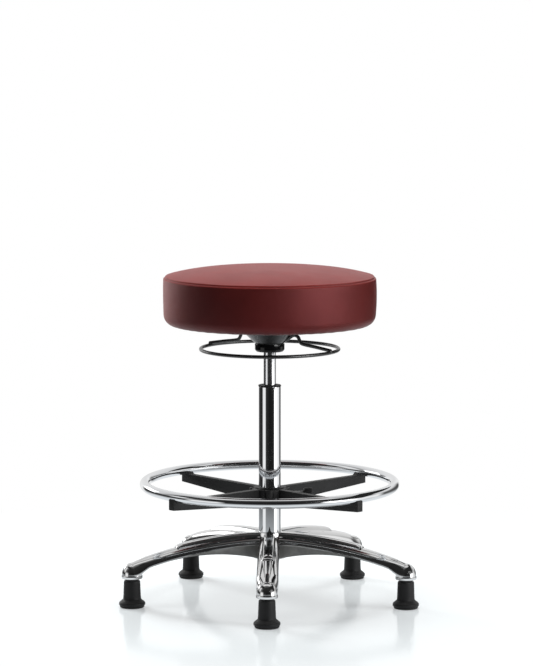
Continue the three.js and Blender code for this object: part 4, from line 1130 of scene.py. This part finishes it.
def leg_loop(reach):
    """Section of a leg at a reach: the crown outside, an open channel underneath.

    Returns its (across, height, zone) loop, where zone is 0 for polished and 1 for as cast.
    """
    crest = height_on(CREST, reach)
    end = eased((reach - NARROWING) / (TIP_REACH - NARROWING))
    half = mix(HALF_AT_HUB, HALF_AT_TIP, end)
    skirt, power = mix(crest - 20.0, 74.0, end), mix(2.5, DOME_POWER, end)
    web = skirt - 1.5
    if reach < WEB_END:
        web = min(height_on(web_curve(), reach), web)
    rise, spine = spine_at(reach)
    rise *= eased((TIP_REACH - reach) / 34.0)

    def crown(across):
        return skirt + (crest - skirt) * max(0.0, 1 - (abs(across) / half) ** power) ** (1 / power)

    right = [(half - 7.0, crest - 5.5, 1), (half - 7.0, web + 1.2, 1), (half - 6.2, web, 1),
             (half - 3.3, web, 1), (half - 2.5, web + 1.2, 1), (half - 2.5, skirt - 0.8, 1),
             (half - 1.2, skirt - 0.5, 0)]
    shoulder = [half * math.cos(math.radians(90 * (k / 12) * 0.58)) for k in range(13)]
    last = shoulder[-1]
    foot = min(spine + 1.6, last - 0.5)
    shoulder += [mix(last, foot, k / 4) for k in range(1, 5)]
    right += [(across, crown(across), 0) for across in shoulder]
    for share in (k / 9 for k in range(1, 9)):
        across = foot - (foot - spine * 0.55) * share
        lift = rise * (1 - (1 - share) ** 2.4) * 0.95
        right.append((across, crown(across) + lift, 0))
    for k in range(1, 4):
        across = spine * 0.55 * (1 - k / 3)
        right.append((across, crown(across) + rise * (0.95 + 0.05 * k / 3), 0))
    return right + [(-x, z, zone) for x, z, zone in reversed(right[:-1])]


def leg_shape():
    """One leg about the column, pointing along +X, and the zone of each of its faces."""
    reaches = [LEG_START + 6.0 * k for k in range(31)]
    reaches += [SPINE_FADE + 15.0 * math.sin(math.radians(90 * k / 9)) for k in range(1, 10)]
    reaches += [222.5, 226.0] + [232.0 + 7.0 * k for k in range(10)]
    reaches += [300.0, 305.0, 310.0, 315.0, 319.0, TIP_REACH]
    loops = [leg_loop(reach) for reach in reaches]
    points, faces = skinned([[(reach, x, z) for x, z, _ in loop]
                             for reach, loop in zip(reaches, loops)])
    zones = [zone for _, _, zone in loops[0]]
    count = len(zones)
    face_zones = [zones[k] and zones[(k + 1) % count] for k in range(count)] * (len(loops) - 1)
    ring = list(range(count))
    last = [len(points) - count + k for k in ring]
    for end in (ring[::-1], last):
        faces += [[end[k], end[k + 1], end[-k - 2], end[-k - 1]] for k in range(count // 2 - 1)]
        face_zones += [0] * (count // 2 - 1)
    return (points, faces), face_zones


def tip_shape():
    """Rounded nose of a leg over its glide: a low band and a dome that stands in it."""
    band = rounded([
        (0.0, 66.0, 0), (23.7, 66.0, 0.9), (24.1, 71.0, 1.4), (23.2, 73.0, 1.0),
        (HALF_AT_TIP, 74.0, 0)], 4)
    dome = [(HALF_AT_TIP * s, 74.0 + 27.4 * (1 - s ** DOME_POWER) ** (1 / DOME_POWER))
            for s in (math.cos(math.radians(90 * k / 20)) for k in range(1, 20))]
    return shifted(turned(band + dome + [(0.0, 101.4)], 64), TIP_REACH)


def rib_shape(share):
    """A cross rib inside a leg's channel, at a share of its length."""
    reach = LEG_START + 298.0 * share
    low, high = height_on(web_curve(), reach) + 5.0, height_on(CREST, reach) - 4.0
    return block(reach - 1.5, reach + 1.5, 19.0, low, high, 0.5, 2)


def build_base():
    """The cast star base: five legs, their noses and the hub they meet in."""
    leg, leg_zones = leg_shape()
    parts = [(leg, leg_zones), (tip_shape(), 0), (rib_shape(0.34), 1), (rib_shape(0.52), 1)]
    shapes = [spun(part, angle) for angle in LEG_ANGLES.values() for part, _ in parts]
    zones = [zone for _, zone in parts] * len(LEG_ANGLES)
    hub = lathed([
        (25.4, 97.0, 0), (38.0, 97.0, 1.0), (37.4, 103.0, 10.0), (31.0, 119.0, 14.0),
        (28.9, 138.0, 12.0), (28.5, 157.0, 1.4), (25.4, 157.0, 0.3)], 7, 112)
    base = make_piece("star_base", shapes + [hub], ["polished aluminium", "as-cast aluminium"],
                      34, zones + [0])
    fit(base, "base", "polished_aluminium", "base_casting")
    dress("zinc-plated steel", *("glide_stem_" + side for side in LEG_ANGLES))


# Glides

def build_glides():
    """Five tall bell glides on their rubber pads."""
    bell = lathed([
        (6.0, 4.0, 0), (27.0, 4.0, 0.5), (29.5, 6.2, 1.4), (29.5, 10.6, 1.2), (27.9, 12.6, 1.2),
        (25.2, 14.9, 9.0), (20.2, 19.0, 4.0), (19.6, 26.0, 9.0), (18.5, 57.5, 2.5),
        (18.1, 60.2, 1.6), (15.0, 61.6, 0.8), (15.0, 65.7, 0.3), (6.0, 65.7, 0)], 5, 72)
    pad = turned([(0.0, 0.0)] + rounded([
        (20.0, 0.0, 0), (25.6, 0.0, 0.8), (27.5, 1.9, 0.8), (27.5, 3.7, 0.3), (20.0, 3.7, 0)], 4)
        + [(0.0, 3.7)], 64)
    for side, angle in LEG_ANGLES.items():
        place = around(TIP_REACH, math.radians(angle))
        add_piece("bell_" + side, [shifted(bell, *place)], "moulded black nylon",
                  side + "_glide", "black_nylon", "glide_" + side, sharp=35)
        add_piece("floor_pad_" + side, [shifted(pad, *place)], "black rubber",
                  side + "_glide", "rubber", "glide_pad_" + side, sharp=35)


# Stage

# Tone of the studio round the object (0 at the camera, -90 to its left), seen in reflections
STUDIO_ROUND = (
    (-180, 0.75), (-152, 0.95), (-143, 0.05), (-80, 0.015), (-71, 0.95), (-46, 0.95), (-38, 0.03),
    (0, 0.01), (46, 0.015), (56, 2.6), (74, 2.6), (86, 0.95), (112, 0.95), (122, 0.1), (160, 0.08),
    (168, 0.95), (180, 0.75))
# Tone over and under the walls, from the camera's side (0) to the white curtain behind (1)
STUDIO_DEPTH = ((0.0, 0.015), (0.22, 0.03), (0.39, 0.2), (0.44, 0.85), (0.55, 0.85), (0.6, 0.35),
                (0.64, 0.35), (0.7, 0.68), (1.0, 0.85))
# Tone of the even light by height, for everything that isn't a reflection
STUDIO_EVEN = ((0.0, 0.45), (0.2, 0.3), (0.4, 0.04), (0.58, 0.08), (0.76, 0.6), (1.0, 1.0))
# Where the walls end in reflections, by height
STUDIO_CEILING = ((0.0, 1.0), (0.3, 1.0), (0.38, 0.0), (0.54, 0.0), (0.64, 1.0), (1.0, 1.0))
# Lamps: setting that holds the power, place, level on the column that it points at, size, and
# whether it is seen in reflections
LAMPS = (
    ("overhead", (0.1, 0.25, 3.0), 0.45, (1.2, 1.2), False),
    ("right_front", (1.675, -1.19, 0.83), 0.62, (1.3, 0.5), True),
    ("left_back", (-1.32, 1.21, 0.85), 0.66, (0.8, 0.6), False),
    ("left_sheen", (-1.41, 1.1, 0.72), 0.66, (0.9, 0.5), True))
# Black boards round the seat: direction from it (as above), then where each starts and ends,
# as (half width, reach, height)
BOARDS = (
    (-58.0, (0.38, 0.7, 0.53), (0.38, 0.7, 1.0)),
    (113.0, (0.34, 0.7, 0.53), (0.34, 0.7, 1.0)),
    (54.0, (0.36, 0.42, 0.5), (1.15, 1.9, 0.5)))
BOARD_TONE = (0.02, 0.02, 0.02)
WHITE = (1, 1, 1)
FLOOR_RINGS = ((3600.0, 0.0), (1400.0, 0.0), (600.0, 0.0), (0.0, 0.0))
FLOOR_DROP = Vector((0, 0, -0.0002))
CAMERA_PLACE, CAMERA_AIM = Vector((0.1345, -7.37975, 1.448)), Vector((-0.0072, 0.02912, 0.609))
CAMERA_LENS, CAMERA_SENSOR = 178.8, 36.0


def light_background():
    """White seen by the camera, even light on the object, and a studio in its reflections."""
    world = bpy.data.worlds.new("studio")
    bpy.context.scene.world = world
    world.use_nodes = True
    tree = world.node_tree
    tree.nodes.clear()
    rays = tree.nodes.new("ShaderNodeLightPath").outputs
    way = wire(tree, "ShaderNodeSeparateXYZ",
               links={"Vector": output_of(tree, "ShaderNodeTexCoord", "Generated")}).outputs
    to_camera = wire(tree, "ShaderNodeMath", {1: -1.0}, {0: way["Y"]}, operation="MULTIPLY")
    bearing = calculated(tree, "ARCTAN2", way["X"], to_camera.outputs[0])
    walls = ramp(tree, spread(tree, bearing, (-math.pi, math.pi)),
                 [((degrees + 180.0) / 360.0, tone) for degrees, tone in STUDIO_ROUND])
    height, depth = (spread(tree, way[axis], (-1.0, 1.0)) for axis in "ZY")
    room = blended(tree, ramp(tree, height, STUDIO_CEILING), walls,
                   ramp(tree, depth, STUDIO_DEPTH))
    background = "ShaderNodeBackground"
    reflected = glowing(tree, background, 1.0, room)
    even = glowing(tree, background, bpy.context.scene.stool_studio.even_light,
                   ramp(tree, height, STUDIO_EVEN))
    mirrored = calculated(tree, "MAXIMUM", rays["Is Glossy Ray"], rays["Is Transmission Ray"])
    seen = shaded(tree, rays["Is Camera Ray"], shaded(tree, mirrored, even, reflected),
                  glowing(tree, background, 1.0, WHITE))
    wire(tree, "ShaderNodeOutputWorld", links={"Surface": seen})


def aim(thing, place, target):
    """Puts a lamp or camera at a place, turned to a target."""
    thing.location = place
    thing.rotation_euler = (Vector(target) - Vector(place)).to_track_quat("-Z", "Y").to_euler()


def build_lamps():
    """Soft lamps that the camera doesn't see."""
    look = bpy.context.scene.stool_studio
    for name, place, level, (width, depth), mirrored in LAMPS:
        data = bpy.data.lights.new(name, "AREA")
        data.shape = "RECTANGLE"
        data.size, data.size_y = width, depth
        data.energy = getattr(look, name)
        light = new_object(name, data)
        aim(light, place, (0, COLUMN.y, level))
        light.visible_camera = False
        light.visible_glossy = mirrored


def build_boards():
    """Black boards, seen in reflections only.

    Two keep the bright walls out of the seat's side, and a flat one hides the right lamp from
    what is lower than the seat.
    """
    material, tree = new_material("black board")
    tree.nodes.clear()
    black = glowing(tree, "ShaderNodeEmission", 1.0, BOARD_TONE)
    wire(tree, "ShaderNodeOutputMaterial", links={"Surface": black})
    for degrees, start, end in BOARDS:
        mesh = bpy.data.meshes.new("studio_board")
        corners = [Vector((side * half, -reach, height)) for half, reach, height in (start, end)
                   for side in (-1, 1)]
        mesh.from_pydata(corners, [], [(0, 1, 3, 2)])
        mesh.materials.append(material)
        board = new_object("studio_board", mesh)
        board.location = COLUMN
        board.rotation_euler.z = math.radians(degrees)
        board.visible_camera = board.visible_diffuse = board.visible_shadow = False


def floor_material():
    """Pale near the stool and white further out. In reflections it glows, with a painted shadow
    under the stool, and then is clear.
    """
    look = bpy.context.scene.stool_studio
    material, tree = new_material("pale floor")
    tree.nodes.clear()
    place = output_of(tree, "ShaderNodeTexCoord", "Object")
    reach = wire(tree, "ShaderNodeVectorMath", links={0: place},
                 operation="LENGTH").outputs["Value"]
    tone = tuple(look.floor)
    pale = wire(tree, "ShaderNodeBsdfPrincipled",
                {"Roughness": 0.13, "Specular IOR Level": 0.22,
                 "Emission Color": (0.97, 0.99, 1, 1), "Emission Strength": look.floor_glow},
                {"Base Color": use(tree, "cloudy tone",
                                   {"Tone": tone, "Other Tone": tone, "Scale": 3.0}),
                 "Normal": raised(tree, use(tree, "moulded skin", {"Scale": 120.0}), 0.00002)})
    emission = "ShaderNodeEmission"
    seen = shaded(tree, spread(tree, reach, (0.6, 1.4)), pale.outputs[0],
                  glowing(tree, emission, 1.0, WHITE))
    # In reflections the floor glows: dark up to 0.2 m from the middle, a painted shadow under the
    # stool, then evenly bright from 0.38 m out.
    apart = spread(tree, reach, (0.0, 2.0))
    reflected_floor_with_painted_shadow = glowing(tree, emission, 0.9,
                   ramp(tree, apart, ((0.1, (0.3, 0.31, 0.32)), (0.19, (0.9, 0.94, 0.97)))))
    clear = output_of(tree, "ShaderNodeBsdfTransparent", "BSDF")
    mirrored = shaded(tree, ramp(tree, apart, ((0.25, 0.0), (0.475, 0.6), (1.0, 1.0))), reflected_floor_with_painted_shadow,
                      clear)
    is_mirrored = output_of(tree, "ShaderNodeLightPath", "Is Glossy Ray")
    from_below = output_of(tree, "ShaderNodeNewGeometry", "Backfacing")
    surface = shaded(tree, from_below, shaded(tree, is_mirrored, seen, mirrored), clear)
    wire(tree, "ShaderNodeOutputMaterial", links={"Surface": surface})
    return material


def build_floor():
    """A pale floor that keeps the stool's shadow and faint reflection, and fades to white."""
    mesh = bpy.data.meshes.new("studio_floor")
    points, faces = turned(FLOOR_RINGS, 96)
    mesh.from_pydata([Vector(p) * MILLIMETRE + FLOOR_DROP for p in points], [], faces)
    mesh.materials.append(floor_material())
    floor = new_object("studio_floor", mesh)
    floor.visible_diffuse = False


def build_camera():
    """The photograph's viewing angle."""
    data = bpy.data.cameras.new("camera")
    data.sensor_width = CAMERA_SENSOR
    data.lens = CAMERA_LENS
    camera = new_object("camera", data)
    aim(camera, CAMERA_PLACE, CAMERA_AIM)
    bpy.context.scene.camera = camera


def set_view():
    bpy.context.scene.view_settings.view_transform = "Standard"


# Settings

def amount(name, default, text, high=1000.0, low=0.0, **options):
    return FloatProperty(name=name, description=text, default=default, min=low, max=high,
                         **options)


def millimetres(name, default, text, low=0.5):
    return amount(name, default, text + ", in millimetres", 600.0, low)


def power(name, default, text):
    return amount(name, default, "Power of the " + text, unit="POWER")


def tone_of(name, default, text):
    return FloatVectorProperty(name=name, description="Colour of the " + text, default=default,
                               size=3, subtype="COLOR", min=0.0, max=1.0)


class SeatSettings(bpy.types.PropertyGroup):
    seam_radius: millimetres("Seam radius", 232.8, "Radius of the sewn edge of the top panel")
    side_radius: millimetres("Side radius", 240.0, "Radius of the seat's side")
    crown_rise: millimetres("Crown", 18.0, "Rise of the top panel's middle over the seam")
    swell: millimetres("Swell", 1.2, "How much smaller the seat starts before it is blown up", 0.0)
    swell_limit: millimetres("Swell limit", 3.0, "How far a point of the seat may swell", 0.0)
    vinyl: tone_of("Vinyl", (0.125, 0.0125, 0.0105), "cover")


class LiftSettings(bpy.types.PropertyGroup):
    column_radius: millimetres("Column radius", 25.0, "Radius of the outer tube")
    tube_radius: millimetres("Inner tube radius", 14.0, "Radius of the pressure tube")
    release_ring_radius: millimetres("Release ring radius", 155.6,
                                     "Radius of the release ring's centreline")
    release_rod_radius: millimetres("Release rod radius", 4.0, "Radius of the release ring's rod")
    chrome: tone_of("Chrome", (0.86, 0.87, 0.885), "chrome plate")


class FootRingSettings(bpy.types.PropertyGroup):
    ring_radius: millimetres("Ring radius", 283.0, "Radius of the foot ring's centreline")
    tube_radius: millimetres("Tube radius", 11.0, "Radius of the foot ring's tube")
    spoke_width: millimetres("Spoke width", 16.0, "Width of a spoke")


class BaseSettings(bpy.types.PropertyGroup):
    aluminium: tone_of("Aluminium", (0.83, 0.83, 0.83), "polished casting")


class StudioSettings(bpy.types.PropertyGroup):
    even_light: amount("Even light", 0.45, "Strength of the light from all round", 2.0)
    overhead: power("Overhead", 105.0, "lamp above")
    right_front: power("Right front", 19.0, "soft lamp at the right")
    left_back: power("Left back", 50.0, "soft lamp behind at the left")
    left_sheen: power("Left sheen", 2.8, "lamp for the sheen at the left")
    floor: tone_of("Floor", (0.375, 0.402, 0.41), "floor near the stool")
    floor_glow: amount("Floor glow", 0.33, "Light that the pale floor adds of its own", 1.0)


# Operators

def run(*builds):
    """Runs the functions that build one group of pieces."""
    for build in builds:
        build()
    return {"FINISHED"}


class STOOL_OT_seat(bpy.types.Operator):
    """Build the padded vinyl seat, swollen by a short cloth run, and its underside"""
    bl_idname = "stool.seat"
    bl_label = "Seat"

    def execute(self, context):
        return run(build_seat, build_seat_underside)


class STOOL_OT_carrier(bpy.types.Operator):
    """Build the mounting plate, the housing, its collar and the release ring"""
    bl_idname = "stool.carrier"
    bl_label = "Seat carrier"

    def execute(self, context):
        return run(build_plate, build_housing, build_collar, build_release_ring)


class STOOL_OT_lift(bpy.types.Operator):
    """Build the gas lift's tubes and bush"""
    bl_idname = "stool.lift"
    bl_label = "Gas lift"

    def execute(self, context):
        return run(build_lift)


class STOOL_OT_foot_ring(bpy.types.Operator):
    """Build the foot ring, its hub with four spokes, and the clamp knob"""
    bl_idname = "stool.foot_ring"
    bl_label = "Foot ring"

    def execute(self, context):
        return run(build_foot_ring, build_foot_hub, build_sleeve, build_saddle_screws,
                   build_knob)


class STOOL_OT_base(bpy.types.Operator):
    """Build the cast star base"""
    bl_idname = "stool.base"
    bl_label = "Star base"

    def execute(self, context):
        return run(build_base)


class STOOL_OT_glides(bpy.types.Operator):
    """Build the five bell glides and their pads"""
    bl_idname = "stool.glides"
    bl_label = "Glides"

    def execute(self, context):
        return run(build_glides)


class STOOL_OT_stage(bpy.types.Operator):
    """Set up the camera, the floor, the background, the lamps and the black boards"""
    bl_idname = "stool.stage"
    bl_label = "Stage"

    def execute(self, context):
        return run(build_camera, build_floor, light_background, build_lamps, build_boards,
                   set_view)


class STOOL_PT_panel(bpy.types.Panel):
    """Lists the stool's pieces and their settings"""
    bl_idname = "STOOL_PT_panel"
    bl_label = "Gas-lift stool"
    bl_space_type = "VIEW_3D"
    bl_region_type = "UI"
    bl_category = "Stool"

    def draw(self, context):
        for name, _, operators in GROUPS:
            box = self.layout.box()
            for operator in operators:
                box.operator(operator.bl_idname)
            settings = getattr(context.scene, name)
            for label in settings.__annotations__:
                box.prop(settings, label)


# Settings on the scene, their class and the operators that use them
GROUPS = (("stool_seat", SeatSettings, (STOOL_OT_seat,)),
          ("stool_lift", LiftSettings, (STOOL_OT_carrier, STOOL_OT_lift)),
          ("stool_foot_ring", FootRingSettings, (STOOL_OT_foot_ring,)),
          ("stool_base", BaseSettings, (STOOL_OT_base, STOOL_OT_glides)),
          ("stool_studio", StudioSettings, (STOOL_OT_stage,)))


def register():
    for name, settings, operators in GROUPS:
        bpy.utils.register_class(settings)
        setattr(bpy.types.Scene, name, PointerProperty(type=settings))
        for operator in operators:
            bpy.utils.register_class(operator)
    bpy.utils.register_class(STOOL_PT_panel)


def unregister():
    bpy.utils.unregister_class(STOOL_PT_panel)
    for name, settings, operators in reversed(GROUPS):
        for operator in operators:
            bpy.utils.unregister_class(operator)
        delattr(bpy.types.Scene, name)
        bpy.utils.unregister_class(settings)


def main():
    register()
    bpy.ops.stool.seat()
    bpy.ops.stool.carrier()
    bpy.ops.stool.lift()
    bpy.ops.stool.foot_ring()
    bpy.ops.stool.base()
    bpy.ops.stool.glides()
    bpy.ops.stool.stage()


if __name__ == "__main__":
    main()
